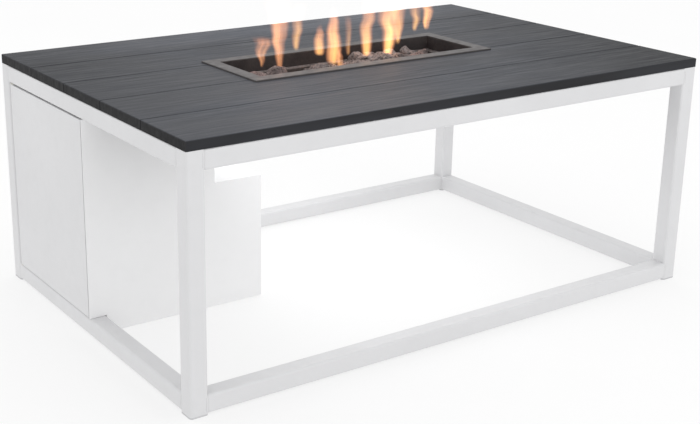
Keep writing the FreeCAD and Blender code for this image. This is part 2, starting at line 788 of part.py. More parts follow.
def make_cabinet_face(label, left_edge, y0, tabs):
    owner = node(label)
    sketch = outline(owner, label + "_outline", "XZ_Plane", cabinet_side_outline(left_edge), f"-{y0}")
    pad = owner.newObject("PartDesign::Pad", label + "_sheet")
    pad.Profile = sketch
    bind(pad, "Length", "panel_sheet")
    pad.Reversed = True
    for seam, (x, z0, z1) in SEAMS.items():
        low = (f"{x} - 2 * panel_sheet", tabs[0], f"{z0} + tab_inset")
        high = (f"{x} - panel_sheet", tabs[1], f"{z1} - tab_inset")
        block(owner, "%s_%s_tab" % (label, seam), low, high)
    low = (f"2 * tab_inset - {INSIDE_X}", tabs[0], "glide_pad + panel_sheet")
    high = (f"{BOX_X} - 2 * tab_inset", tabs[1], "glide_pad + 2 * panel_sheet")
    block(owner, label + "_floor_tab", low, high)
    return owner


def make_side_sheet(label, x, z0, z1):
    owner = node(label)
    low = (f"{x} - panel_sheet", f"{CABINET_Y} + panel_sheet", z0)
    block(owner, label + "_sheet", low, (x, BACK_Y, z1))
    return owner


def make_rivets(front, back, sides):
    rivets = []
    front_y = f"{CABINET_Y} + panel_sheet + tab_reach / 2"
    back_y = f"{BACK_Y} - tab_reach / 2"
    hole_radius = "panel_screw + push_fit"
    profile = [("0", "-2 * panel_sheet"), ("panel_screw", "-2 * panel_sheet"), ("panel_screw", "0"),
               ("panel_screw_head", "0"), ("panel_screw_head - edge_bevel", "edge_bevel"),
               ("0", "rivet_height")]
    for label, (x, z0, z1) in SEAMS.items():
        for face, y in ((front, front_y), (back, back_y)):
            for z in (f"{z0} + tab_inset + rivet_inset", f"{z1} - tab_inset - rivet_inset"):
                rivet = body("cabinet_rivet_%d" % (len(rivets) + 1))
                place = (f"{x} - 2 * panel_sheet", y, z)
                for owner in (face, sides[label]):
                    hole = "%s_%s_hole" % (owner.Label, rivet.Label)
                    rod(owner, hole, place, "x", hole_radius, "2 * panel_sheet", cut=True)
                rivets.append(turned(rivet, profile, (x, y, z), "x"))
    return group("cabinet_rivets", rivets)


def make_low_box_top():
    owner = node("low_box_top")
    z0 = "low_box_height - panel_sheet"
    low = (f"{COLUMN_X} - panel_sheet - fold_width", f"{CABINET_Y} + panel_sheet", z0)
    block(owner, "low_box_top_sheet", low, (f"{BOX_X} - panel_sheet", BACK_Y, "low_box_height"))
    low = (f"{BOX_X} - 2 * panel_sheet", f"{CABINET_Y} + panel_sheet + fold_inset", f"{z0} - fold_width")
    block(owner, "low_box_top_fold", low, (f"{BOX_X} - panel_sheet", f"{BACK_Y} - fold_inset", z0))
    return owner


def make_cabinet_floor():
    owner = node("cabinet_floor")
    x0 = f"panel_gap - {INSIDE_X}"
    low = (x0, f"{CABINET_Y} + panel_sheet", "glide_pad")
    high = (f"{BOX_X} - panel_sheet", BACK_Y, "glide_pad + panel_sheet")
    block(owner, "floor_sheet", low, high)
    low = (x0, f"{CABINET_Y} + fold_inset", "glide_pad + panel_sheet")
    high = (f"{x0} + panel_sheet", f"{BACK_Y} - fold_inset", "glide_pad + floor_fold")
    block(owner, "floor_fold", low, high)
    # A second hose can come up through this hole, straight below the nozzle
    rod(owner, "floor_hose_hole", (KNOB_X, VALVE_Y, "glide_pad"), "z", "hose_hole", "panel_sheet", cut=True)
    middle = f"({CABINET_Y} + cabinet_depth / 2)"
    low = (f"{x0} + vent_inset", f"{middle} - vent_length / 2", "glide_pad")
    high = (f"{x0} + vent_inset + vent_width", f"{middle} + vent_length / 2", "glide_pad + panel_sheet")
    vent = block(owner, "floor_vent", low, high, cut=True)
    row(owner, vent, "X_Axis", "vent_pitch", VENT_COUNT)
    return owner


def make_feet():
    feet = []
    profile = [("0", "0"), ("foot_radius - edge_bevel", "0"), ("foot_radius", "edge_bevel"),
               ("foot_radius", "glide_pad"), ("0", "glide_pad")]
    for x in (f"foot_inset - {INSIDE_X}", f"{BOX_X} - foot_inset"):
        for y in (f"{CABINET_Y} + foot_inset", f"{BACK_Y} - foot_inset"):
            foot = body("cabinet_foot_%d" % (len(feet) + 1))
            feet.append(turned(foot, profile, (x, y, "0"), "z"))
    return group("cabinet_feet", feet)


def make_panel_screws(frame, back):
    lap_x = f"-{INSIDE_X} - back_lap / 2"
    left_x = f"panel_screw_inset - {INSIDE_X}"
    high_z = f"{HIGH_RAIL} + tube_size / 2"
    low_z = "glide_pad + tube_size / 2"
    places = {
        "leg_back_left": ((lap_x, "table_height * 0.25"), (lap_x, "table_height * 0.75")),
        "top_rail_back": ((left_x, high_z), (f"{COLUMN_X} - panel_screw_inset", high_z)),
        "bottom_rail_back": ((left_x, low_z), (f"{BOX_X} - panel_screw_inset", low_z)),
    }
    reach = "panel_sheet + tube_wall"
    end = f"{reach} + panel_screw_bite"
    profile = [("0", "-panel_screw_rise"), ("panel_screw_head", "-panel_screw_rise"),
               ("panel_screw_head", "0"), ("panel_screw", "0"), ("panel_screw", end), ("0", end)]
    screws = []
    for label, spots in places.items():
        for x, z in spots:
            screw = body("panel_screw_%d" % (len(screws) + 1))
            place = (x, BACK_Y, z)
            for owner in (frame[label], back):
                name = "%s_%s_hole" % (owner.Label, screw.Label)
                rod(owner, name, place, "y", "panel_screw + push_fit", reach, cut=True)
            screws.append(turned(screw, profile, place, "y"))
    return group("panel_screws", screws)


def make_cabinet(frame):
    tabs = (f"{CABINET_Y} + panel_sheet", f"{CABINET_Y} + panel_sheet + tab_reach")
    front = make_cabinet_face("cabinet_front", "-" + FRAME_X, CABINET_Y, tabs)
    tabs = (f"{BACK_Y} - tab_reach", BACK_Y)
    back = make_cabinet_face("cabinet_back", f"-{INSIDE_X} - back_lap", BACK_Y, tabs)
    column = make_side_sheet("column_side", COLUMN_X, "low_box_height", f"{TOP_UNDER} - panel_gap")
    x = f"{COLUMN_X} - panel_sheet"
    low = (f"{x} - fold_width", f"{CABINET_Y} + panel_sheet + fold_inset", "low_box_height")
    high = (x, f"{BACK_Y} - fold_inset", "low_box_height + panel_sheet")
    block(column, "column_fold", low, high)
    rod(column, "column_pipe_hole", (x, GAS_Y, GAS_Z), "x", "pipe_radius * 2", "panel_sheet", cut=True)
    low_side = make_side_sheet("low_box_side", BOX_X, "glide_pad", "low_box_height")
    make_low_box_top()
    make_cabinet_floor()
    make_feet()
    make_rivets(front, back, {"low_box_side": low_side, "column_side": column})
    make_panel_screws(frame, back)
    return back


# Door: a folded pan with a round hinge edge that turns on two pins in the left rails
def make_door():
    owner = node("bottle_door")
    x0 = "-" + FRAME_X
    y0 = f"{CABINET_Y} + panel_sheet + door_front_gap"
    y1 = f"{INSIDE_Y} - door_gap"
    skin = block(owner, "door_block", (x0, y0, DOOR_LOW), (f"{x0} + door_depth", y1, DOOR_HIGH))

    def at_hinge(point, box):
        return point.y > box.YMax - 0.001

    dress(owner, "Fillet", "Radius", skin, ["z"], "door_edge", at_hinge)
    low = (f"{x0} + panel_sheet", f"{y0} + panel_sheet", f"{DOOR_LOW} + panel_sheet")
    high = (f"{x0} + door_depth", f"{y1} - door_stile", f"{DOOR_HIGH} - panel_sheet")
    block(owner, "door_hollow", low, high, cut=True)
    for name, z, axis in (("low", DOOR_LOW, "z"), ("high", DOOR_HIGH, "-z")):
        place = (PIVOT_X, PIVOT_Y, z)
        rod(owner, "door_pin_hole_" + name, place, axis, "pivot_radius + push_fit", "pivot_depth", cut=True)
    strike = node("door_strike")
    low = (f"{x0} + panel_sheet", f"{LATCH_Y} - strike_width / 2", "latch_height - strike_height / 2")
    high = (f"{x0} + panel_sheet + strike_sheet", f"{LATCH_Y} + strike_width / 2",
            "latch_height + strike_height / 2")
    block(strike, "strike_plate", low, high)
    return owner


def make_pivots(frame):
    pins = []
    bushes = []
    bore = "pivot_radius + running_fit"
    outside = f"{bore} + bush_wall"
    flange = f"{outside} + bush_flange"
    thick = "door_gap - seat_gap"
    bush_profile = [(bore, "-tube_wall"), (outside, "-tube_wall"), (outside, "0"), (flange, "0"),
                    (flange, thick), (bore, thick)]
    end = "door_gap + pivot_depth"
    pin_profile = [("0", "-pivot_tail"), ("pivot_radius - pin_bevel", "-pivot_tail"),
                   ("pivot_radius", "pin_bevel - pivot_tail"), ("pivot_radius", end), ("0", end)]
    for rail, z, hole_z, axis in (("bottom_rail_left", LOW_RAIL, f"{LOW_RAIL} - tube_wall", "z"),
                                  ("top_rail_left", HIGH_RAIL, f"{HIGH_RAIL} + tube_wall", "-z")):
        place = (PIVOT_X, PIVOT_Y, hole_z)
        rod(frame[rail], rail + "_bush_hole", place, axis, f"{outside} + push_fit", "tube_wall", cut=True)
        place = (PIVOT_X, PIVOT_Y, z)
        bushes.append(turned(body(rail + "_bush"), bush_profile, place, axis))
        pins.append(turned(body(rail + "_pin"), pin_profile, place, axis))
    group("pivot_bushes", bushes)
    group("door_pins", pins)


def make_latch():
    jamb = node("door_jamb")
    y0 = f"{CABINET_Y} + panel_sheet"
    z0 = f"{LOW_RAIL} + panel_gap"
    z1 = f"{HIGH_RAIL} - panel_gap"
    block(jamb, "jamb_flange", (JAMB_X, y0, z0), (f"{JAMB_X} + jamb_width", f"{y0} + panel_sheet", z1))
    block(jamb, "jamb_stop", (JAMB_X, y0, z0), (f"{JAMB_X} + panel_sheet", f"{y0} + jamb_width", z1))
    place = (JAMB_X, LATCH_Y, "latch_height")
    rod(jamb, "jamb_latch_hole", place, "x", "latch_radius + push_fit", "panel_sheet", cut=True)
    case = node("latch_case")
    bore = "plunger_radius + running_fit"
    flange = "latch_radius + latch_flange"
    bottom = "(latch_length - latch_wall)"
    profile = [(bore, "-latch_wall"), (flange, "-latch_wall"), (flange, "0"), ("latch_radius", "0"),
               ("latch_radius", "latch_length"), ("0", "latch_length"), ("0", bottom), (bore, bottom)]
    turned(case, profile, place, "x")
    plunger = node("latch_plunger")
    tip = f"(strike_sheet + panel_sheet + seat_gap - {FRAME_X})"
    end = f"{JAMB_X} + {bottom} - plunger_travel - plunger_spare - {tip}"
    profile = [("0", "0"), ("magnet_radius", "0"), ("magnet_radius", "magnet_height"),
               ("plunger_radius", "magnet_height"), ("plunger_radius", end), ("0", end)]
    turned(plunger, profile, (tip, LATCH_Y, "latch_height"), "x")


# Controls: a plate on the cabinet's back with the valve's knob and the spark igniter's button
def make_controls(back):
    plate = node("control_plate")
    low = (f"{PLATE_X} - plate_width / 2", INSIDE_Y, f"{PLATE_Z} - plate_height / 2")
    high = (f"{PLATE_X} + plate_width / 2", PLATE_Y, f"{PLATE_Z} + plate_height / 2")
    sheet_block = block(plate, "plate_sheet", low, high)
    dress(plate, "Fillet", "Radius", sheet_block, ["y"], "tube_corner")
    holes = {"stem": (KNOB_X, "stem_radius + stem_gap"), "igniter": (BUTTON_X, "igniter_radius + push_fit")}
    for owner in (plate, back):
        for name, (x, radius) in holes.items():
            hole = "%s_%s_hole" % (owner.Label, name)
            rod(owner, hole, (x, BACK_Y, PLATE_Z), "y", radius, "2 * panel_sheet", cut=True)


def make_valve():
    valve = node("gas_valve")
    half = "valve_width / 2"
    low = (f"{KNOB_X} - {half}", f"{BACK_Y} - valve_length", f"{PLATE_Z} - {half}")
    block(valve, "valve_block", low, (f"{KNOB_X} + {half}", BACK_Y, f"{PLATE_Z} + {half}"))
    rod(valve, "valve_outlet", (f"{KNOB_X} + {half}", VALVE_Y, PLATE_Z), "x", "boss_radius", "boss_length")
    rod(valve, "valve_inlet", (KNOB_X, VALVE_Y, f"{PLATE_Z} - {half}"), "-z", "boss_radius", "boss_length")
    place = (KNOB_X, BACK_Y, PLATE_Z)
    reach = "stem_seat + knob_travel + bore_spare"
    rod(valve, "valve_stem_bore", place, "-y", "stem_radius + running_fit", reach, cut=True)
    rod(valve, "valve_pin_bore", place, "-y", "pin_radius + running_fit", f"{reach} + pin_length", cut=True)
    pin = node("safety_pin")
    length = "pin_length - seat_gap"
    profile = [("0", "0"), ("pin_radius", "0"), ("pin_radius", length), ("0", length)]
    turned(pin, profile, (KNOB_X, f"{BACK_Y} - stem_seat - pin_length", PLATE_Z), "y")


def make_knob():
    stem = node("valve_stem")
    roof = "knob_height - knob_roof"
    length = f"stem_seat + 2 * panel_sheet + knob_travel + knob_lift + {roof}"
    profile = [("0", "0"), ("stem_radius", "0"), ("stem_radius", length), ("0", length)]
    turned(stem, profile, (KNOB_X, f"{BACK_Y} - stem_seat", PLATE_Z), "y")
    knob = node("control_knob")
    bore = "stem_radius + push_fit"
    shoulder = "knob_skirt + 2 * edge_bevel"
    crown = "knob_radius - 3 * edge_bevel"
    profile = [(bore, "0"), ("knob_radius", "0"), ("knob_radius", "knob_skirt"),
               ("knob_radius - 2 * edge_bevel", shoulder), (crown, "knob_height - edge_bevel"),
               (f"{crown} - edge_bevel", "knob_height"), ("0", "knob_height"), ("0", roof), (bore, roof)]
    turned(knob, profile, (KNOB_X, f"{PLATE_Y} + knob_travel + knob_lift", PLATE_Z), "y")
    for name, start, end in (("left", "-knob_radius", "-knob_grip"), ("right", "knob_grip", "knob_radius")):
        low = (start, "-knob_radius", shoulder)
        block(knob, "knob_finger_" + name, low, (end, "knob_radius", "knob_height"), cut=True)


def make_igniter():
    place = (BUTTON_X, PLATE_Y, PLATE_Z)
    case = node("igniter_case")
    bore = "button_radius + running_fit"
    stop = "-button_travel - button_tail"
    tail = "-igniter_length - terminal_length"
    profile = [("0", tail), ("terminal_radius", tail), ("terminal_radius", "-igniter_length"),
               ("igniter_radius", "-igniter_length"), ("igniter_radius", "0"), ("bezel_radius", "0"),
               ("bezel_radius - edge_bevel", "bezel_height"), (bore, "bezel_height"), (bore, stop),
               ("0", stop)]
    turned(case, profile, place, "y")
    nut = node("igniter_nut")
    bore = "igniter_radius + push_fit"
    profile = [(bore, "0"), ("bezel_radius", "0"), ("bezel_radius", "nut_height"), (bore, "nut_height")]
    turned(nut, profile, (BUTTON_X, f"{BACK_Y} - nut_height", PLATE_Z), "y")
    button = node("igniter_button")
    top = "bezel_height + button_travel + edge_bevel"
    profile = [("0", "-button_tail"), ("button_radius", "-button_tail"),
               ("button_radius", f"{top} - edge_bevel"), ("button_radius - edge_bevel", top), ("0", top)]
    turned(button, profile, place, "y")


def make_gas_inlet():
    owner = node("gas_inlet")
    profile = [("0", "0"), ("hex_radius", "0"), ("hex_radius", "hex_height"), ("hose_radius", "hex_height"),
               ("hose_radius", "hex_height + hose_length"), ("0", "hex_height + hose_length")]
    low = f"{PLATE_Z} - valve_width / 2 - boss_length"
    turned(owner, profile, (KNOB_X, VALVE_Y, low), "-z")


def bent_path(start, corners, end, radius):
    # Straight runs joined by tangent arcs at the corners
    edges = []
    here = start
    stops = [start] + corners + [end]
    for before, corner, after in zip(stops, corners, stops[2:]):
        inward = (corner - before).normalize()
        outward = (after - corner).normalize()
        turn = inward.getAngle(outward)
        reach = radius * math.tan(turn / 2)
        bend_start = corner - inward * reach
        bend_end = corner + outward * reach
        towards = (outward - inward).normalize()
        middle = corner + towards * (radius / math.cos(turn / 2) - radius)
        edges.append(Part.LineSegment(here, bend_start).toShape())
        edges.append(Part.Arc(bend_start, middle, bend_end).toShape())
        here = bend_end
    edges.append(Part.LineSegment(here, end).toShape())
    return Part.Wire(edges)


def make_pipe():
    # From the valve's outlet to the injector, down the inside of the column
    document.recompute()
    valve = nodes["gas_valve"].Shape.BoundBox
    stem = nodes["valve_stem"].Shape.BoundBox.Center
    inlet = nodes["gas_inlet"].Shape.BoundBox.Center
    injector = nodes["gas_injector"].Shape.BoundBox
    x = nodes["column_side"].Shape.BoundBox.XMax - size("panel_sheet") - size("pipe_wall_gap")
    start = FreeCAD.Vector(valve.XMax, inlet.y, stem.z)
    end = FreeCAD.Vector(injector.XMin, injector.Center.y, injector.Center.z)
    corners = [FreeCAD.Vector(x, start.y, start.z), FreeCAD.Vector(x, end.y, end.z)]
    path = bent_path(start, corners, end, size("pipe_bend"))
    section = Part.Wire([Part.Circle(start, AXES["x"], size("pipe_radius")).toShape()])
    feature = document.addObject("Part::Feature", "gas_pipe")
    feature.Label = "gas_pipe"
    feature.Shape = path.makePipeShell([section], True, True)
    nodes["gas_pipe"] = feature
    full = math.pi * size("pipe_radius") ** 2 * path.Length
    print("gas_pipe length %.1f, volume %.0f of %.0f" % (path.Length, feature.Shape.Volume, full))


def make_grommet():
    bore = "pipe_radius + push_fit"
    groove = "pipe_radius * 2 - push_fit"
    lip = "pipe_radius * 2 + grommet_lip"
    far = "panel_sheet + grommet_wall"
    profile = [(bore, "-grommet_wall"), (lip, "-grommet_wall"), (lip, "0"), (groove, "0"),
               (groove, "panel_sheet"), (lip, "panel_sheet"), (lip, far), (bore, far)]
    turned(node("pipe_grommet"), profile, (f"{COLUMN_X} - panel_sheet", GAS_Y, GAS_Z), "x")


def check_and_write():
    document.recompute()
    for item in document.Objects:
        if "Invalid" in item.State or "Error" in item.State:
            raise RuntimeError("%s failed: %s" % (item.Name, item.State))
    os.makedirs("parts", exist_ok=True)
    for label, item in nodes.items():
        if item.Shape.isNull() or not item.Shape.isValid():
            raise RuntimeError("%s has no valid shape" % label)
    for label, item in nodes.items():
        item.Shape.exportStep(os.path.join("parts", label + ".step"))
    print("%d nodes, %d solids" % (len(nodes), sum(len(item.Shape.Solids) for item in nodes.values())))


def main():
    frame = make_frame()
    make_glides()
    planks = make_planks()
    make_plank_screws(frame, planks)
    make_rim()
    make_pan()
    make_tray()
    make_burner_loop()
    make_loop_brackets()
    make_electrode_bracket()
    make_electrodes()
    make_injector()
    make_rocks()
    back = make_cabinet(frame)
    make_door()
    make_pivots(frame)
    make_latch()
    make_controls(back)
    make_valve()
    make_knob()
    make_igniter()
    make_gas_inlet()
    make_pipe()
    make_grommet()
    check_and_write()


main()
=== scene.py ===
import json
import math
import random
from functools import reduce

import bmesh
import bpy
from bpy.props import FloatProperty, FloatVectorProperty, IntProperty, PointerProperty
from mathutils import Matrix, Vector


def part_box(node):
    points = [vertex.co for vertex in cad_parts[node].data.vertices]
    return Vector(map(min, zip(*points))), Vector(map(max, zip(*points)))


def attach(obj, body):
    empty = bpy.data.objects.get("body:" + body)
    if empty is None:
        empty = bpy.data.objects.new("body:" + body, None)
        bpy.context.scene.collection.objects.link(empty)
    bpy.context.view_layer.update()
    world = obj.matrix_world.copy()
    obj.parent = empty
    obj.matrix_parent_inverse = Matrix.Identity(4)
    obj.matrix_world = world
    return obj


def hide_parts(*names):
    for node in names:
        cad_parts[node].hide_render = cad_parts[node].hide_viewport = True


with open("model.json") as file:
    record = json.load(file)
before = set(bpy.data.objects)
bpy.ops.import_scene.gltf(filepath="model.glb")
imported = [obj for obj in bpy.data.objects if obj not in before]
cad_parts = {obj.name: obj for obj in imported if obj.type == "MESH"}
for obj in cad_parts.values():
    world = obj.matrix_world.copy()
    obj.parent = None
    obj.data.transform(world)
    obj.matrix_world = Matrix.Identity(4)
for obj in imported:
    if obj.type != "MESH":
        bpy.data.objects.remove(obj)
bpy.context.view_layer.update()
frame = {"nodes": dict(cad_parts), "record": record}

bl_info = {
    "name": "Fire Pit Table Finish",
    "version": (1, 0, 0),
    "blender": (4, 5, 0),
    "location": "3D View > Sidebar > Fire Pit",
    "description": "Finishes, lava stones, small parts, flames and studio of the fire pit table",
    "category": "Object",
}

MERGE_DISTANCE = 1e-5
NODES = frame["nodes"]
SLOT_OF = {part["node"]: part["material_slot"] for part in frame["record"]["subparts"]}


def nodes_with(slot):
    """Names of the frame's nodes that have this slot."""
    return [name for name in sorted(NODES) if SLOT_OF[name] == slot]


def paint(names, material):
    """Puts one finish on the frame's own nodes and leaves their meshes alone."""
    for name in names:
        if not NODES[name].material_slots:
            raise RuntimeError("Node %s has no place for a finish" % name)
        for place in NODES[name].material_slots:
            place.material = material


def paint_slot(slot, make, *sizes, **options):
    """Makes a finish named after its slot, puts it on the slot's nodes and gives it back."""
    material = make(slot, *sizes, **options)
    paint(nodes_with(slot), material)
    return material


def loose_boxes(name):
    """Lowest and highest corner of every separate solid in a node of the frame."""
    shape = bmesh.new()
    shape.from_mesh(NODES[name].data)
    bmesh.ops.remove_doubles(shape, verts=shape.verts, dist=MERGE_DISTANCE)
    waiting = set(shape.verts)
    boxes = []
    while waiting:
        front = [waiting.pop()]
        low, high = front[0].co.copy(), front[0].co.copy()
        while front:
            vertex = front.pop()
            low = Vector(map(min, low, vertex.co))
            high = Vector(map(max, high, vertex.co))
            for edge in vertex.link_edges:
                other = edge.other_vert(vertex)
                if other in waiting:
                    waiting.remove(other)
                    front.append(other)
        boxes.append((low, high))
    shape.free()
    if not boxes:
        raise RuntimeError("Node %s has no solids" % name)
    return sorted(boxes, key=lambda box: tuple(box[0]))


# Settings

def tint(name, description, default):
    """A colour that the user can change."""
    return FloatVectorProperty(name=name, description=description, default=default,
                               subtype="COLOR", min=0.0, max=1.0)


def number(name, description, default, **options):
    """A value that the user can change."""
    return FloatProperty(name=name, description=description, default=default, **options)


def metres(name, description, default):
    """A length that the user can change."""
    return number(name, description, default, subtype="DISTANCE", unit="LENGTH")


def degrees(name, description, default):
    """An angle that the user can change."""
    return number(name, description, math.radians(default), subtype="ANGLE")


def count(name, description, default, **limits):
    """A whole number that the user can change."""
    return IntProperty(name=name, description=description, default=default, **limits)


class TableColours(bpy.types.PropertyGroup):
    """Colours of the table's finishes"""

    frame_white: tint("Frame white", "Powder coat of the tubes", (0.69, 0.69, 0.70))
    cabinet_white: tint("Cabinet white", "Powder coat of the cabinet sheets", (0.84, 0.84, 0.845))
    board_light: tint("Board light streak", "Lighter streaks of the boards", (0.106, 0.108, 0.120))
    board_dark: tint("Board dark streak", "Darker streaks of the boards", (0.034, 0.036, 0.042))
    board_edge: tint("Board edge", "Cut edges of the boards", (0.020, 0.020, 0.022))
    board_cool: tint("Board cool tint", "Bluish patches of the boards", (0.062, 0.072, 0.094))
    rim_taupe: tint("Rim taupe", "Powder coat of the burner rim", (0.074, 0.067, 0.067))
    soot: tint("Soot", "Heatproof black of the pan and tray", (0.026, 0.022, 0.023))
    soot_brown: tint("Burnt brown", "Where the black has burnt brown", (0.085, 0.074, 0.072))
    # Stone dark is painted shade in the pores and also a random darker tone; stone light is the
    # surface between the pores
    stone_dark: tint("Stone dark", "Pores and hollows of the lava stones", (0.034, 0.029, 0.030))
    stone_light: tint("Stone light", "Raised parts of the lava stones", (0.33, 0.28, 0.27))
    stone_red: tint("Stone red", "Rust tint of some lava stones", (0.29, 0.205, 0.195))


class StoneSizes(bpy.types.PropertyGroup):
    """Form of the lava stones"""

    growth: number("Growth", "Size of a stone against its solid", 1.17, min=0.5, max=1.5)
    lump_depth: metres("Lumps", "How far the broad lumps stand out", 0.030)
    grain_depth: metres("Grain", "How far the rough grain stands out", 0.0085)
    pore_depth: metres("Pores", "Depth of the gas pores", 0.0022)
    chip_size: metres("Chip size", "Mean half width of the small stones between the large ones",
                      0.009)
    chip_count: count("Chips", "Number of small stones", 7, min=1, max=120)
    peak: metres("Peak", "How far a stone may rise above the tallest solid", 0.004)
    seed: count("Seed", "Picks another set of stones", 5)


class SmallPartSizes(bpy.types.PropertyGroup):
    """Sizes of the fasteners, the knob's details and the hose nozzle"""

    tube_corner: metres("Tube corner", "Outer corner radius of the frame's tube", 0.005)
    screw_socket: metres("Screw socket", "Hexagon socket across its corners, halved", 0.0018)
    knob_ribs: count("Knob ribs", "Grip ribs round the knob's skirt", 48, min=8, max=90)
    rib_radius: metres("Rib radius", "Radius of one grip rib", 0.0006)
    scale_marks: count("Scale marks", "Dots on the plate that show how far the valve is open", 9,
                       min=3, max=20)
    mark_radius: metres("Mark radius", "Radius of the smallest dot", 0.0008)
    barbs: count("Barbs", "Barbs on the hose nozzle", 4, min=1, max=8)
    barb_height: metres("Barb height", "How far a barb stands out", 0.0008)


class FlameSizes(bpy.types.PropertyGroup):
    """Colour and strength of the flames"""

    core_colour: tint("Core colour", "Colour where the fire is dense", (1.0, 0.56, 0.17))
    fringe_colour: tint("Fringe colour", "Colour at the thin edges and tips", (1.0, 0.38, 0.20))
    strength: number("Strength", "Light given off across a whole flame", 2.8, min=0.0)
    sway: number("Sway", "How far a flame bends aside, as a share of its width", 2.0)


class StudioSizes(bpy.types.PropertyGroup):
    """Camera, floor and lights"""

    camera_place: FloatVectorProperty(
        name="Camera place", description="Where the camera stands", subtype="TRANSLATION",
        unit="LENGTH", default=(-1.507, -2.061, 1.018))
    camera_heading: degrees("Heading", "Turn of the view from +Y towards +X", 33.91)
    camera_dip: degrees("Dip", "How far the view looks down", 17.79)
    camera_roll: degrees("Roll", "Turn of the picture about its centre", 0.53)
    camera_lens: number("Lens", "Focal length on a 36 mm wide sensor, in millimetres", 64.9)
    camera_shift: FloatVectorProperty(
        name="Shift", description="Shift of the picture as a share of its width", size=2,
        default=(0.0714, -0.0343))
    floor_width: metres("Floor width", "Side of the square floor", 40.0)
    floor_glow: number("Floor glow", "Light that the lit floor gives off", 0.66)
    sky_light: number("Sky light", "Even light from all round", 1.0)
    top_light: number("Top light", "Power of the wide light above", 16.0, unit="POWER")
    front_light: number("Front light", "Power of the wide, low light in front", 10.0,
                        unit="POWER")
    under_light: number("Under light", "Power of the fill light below the boards", 2.2,
                        unit="POWER")


SETTINGS = {
    "fire_colours": TableColours,
    "fire_stones": StoneSizes,
    "fire_parts": SmallPartSizes,
    "fire_flames": FlameSizes,
    "fire_studio": StudioSizes,
}


# Shader trees

def add(tree, kind, inputs=None, **options):
    """Adds a node, sets its options, and links or fills its inputs by name or number."""
    node = tree.nodes.new(kind)
    for option, value in options.items():
        setattr(node, option, value)
    for key, value in (inputs or {}).items():
        if isinstance(value, bpy.types.NodeSocket):
            tree.links.new(value, node.inputs[key])
        else:
            node.inputs[key].default_value = value
    return node


def made(kind, inputs, output, **options):
    """The output of a new node, in the tree that its linked inputs come from."""
    tree = next(value.id_data for value in inputs.values()
                if isinstance(value, bpy.types.NodeSocket))
    return add(tree, kind, inputs, **options).outputs[output]


def opaque(colour, factor=1.0):
    """The colour times a factor, with its alpha."""
    return (*[part * factor for part in colour], 1.0)


def new_finish(name, **sockets):
    """A material with only a Principled shader; sockets are named with underscores for spaces."""
    material = bpy.data.materials.new(name)
    material.use_nodes = True
    tree = material.node_tree
    tree.nodes.clear()
    values = {socket.replace("_", " "): value for socket, value in sockets.items()}
    shader = add(tree, "ShaderNodeBsdfPrincipled", values)
    add(tree, "ShaderNodeOutputMaterial", {"Surface": shader.outputs["BSDF"]})
    return material, tree, shader


def place_on(tree, stretch=(1, 1, 1)):
    """The piece's own coordinates, stretched."""
    own = add(tree, "ShaderNodeTexCoord").outputs["Object"]
    return made("ShaderNodeMapping", {"Vector": own, "Scale": stretch}, "Vector")


def cloud(tree, scale, stretch=(1, 1, 1), detail=3.0, roughness=0.5, distortion=0.0):
    """Noise from 0 to 1 on the piece."""
    inputs = {"Vector": place_on(tree, stretch), "Scale": scale, "Detail": detail,
              "Roughness": roughness, "Distortion": distortion}
    return made("ShaderNodeTexNoise", inputs, "Fac")


def cells(tree, scale):
    """Distance to the nearest of many scattered points on the piece."""
    inputs = {"Vector": place_on(tree), "Scale": scale}
    return made("ShaderNodeTexVoronoi", inputs, "Distance")


def remap(value, start, end, low=0.0, high=1.0, smooth=False):
    """Stretches the values from start to end over low to high."""
    inputs = {"Value": value, "From Min": start, "From Max": end, "To Min": low, "To Max": high}
    kind = "SMOOTHSTEP" if smooth else "LINEAR"
    return made("ShaderNodeMapRange", inputs, "Result", interpolation_type=kind)


def patchy(tree, start, end, scale, stretch=(1, 1, 1), **noise):
    """Noise on the piece, with its values from start to end stretched over 0 to 1."""
    return remap(cloud(tree, scale, stretch, **noise), start, end)


def falling(value, start, end):
    """One before start, nothing after end, with a smooth slope between."""
    return remap(value, start, end, 1.0, 0.0, smooth=True)


def mix(factor, first, second):
    """Mixes two colours."""
    return made("ShaderNodeMix", {0: factor, 6: first, 7: second}, 2, data_type="RGBA")


def between(factor, first, second):
    """Mixes two values."""
    return made("ShaderNodeMix", {0: factor, 2: first, 3: second}, 0)


def maths(operation, first, second=0.0):
    """The result of one operation on values."""
    return made("ShaderNodeMath", {0: first, 1: second}, "Value", operation=operation)


def times(*values):
    """The product of several values."""
    return reduce(lambda first, second: maths("MULTIPLY", first, second), values)


def plus(*values):
    """The sum of several values."""
    return reduce(lambda first, second: maths("ADD", first, second), values)


def vector_maths(operation, first, second):
    """The result of one operation on vectors; SCALE takes a value as its second input."""
    key = "Scale" if operation == "SCALE" else 1
    inputs = {0: first, key: second}
    return made("ShaderNodeVectorMath", inputs, "Vector", operation=operation)


def scaled(vector, factor):
    """A vector times a value."""
    return vector_maths("SCALE", vector, factor)


def axes(vector):
    """The X, Y and Z of a vector."""
    return add(vector.id_data, "ShaderNodeSeparateXYZ", {"Vector": vector}).outputs


def joined(**parts):
    """A vector from its X, Y and Z."""
    return made("ShaderNodeCombineXYZ", parts, "Vector")


def bump(shader, *layers):
    """Stacks bumps, each a height and its depth in metres, and feeds the last to the shader."""
    normal = None
    for height, depth in layers:
        inputs = {"Height": height, "Distance": depth, "Strength": 1.0}
        if normal is not None:
            inputs["Normal"] = normal
        normal = made("ShaderNodeBump", inputs, "Normal")
    feed(shader, Normal=normal)


def feed(shader, **sources):
    """Links patterns to the shader's sockets."""
    for socket, source in sources.items():
        shader.id_data.links.new(source, shader.inputs[socket.replace("_", " ")])


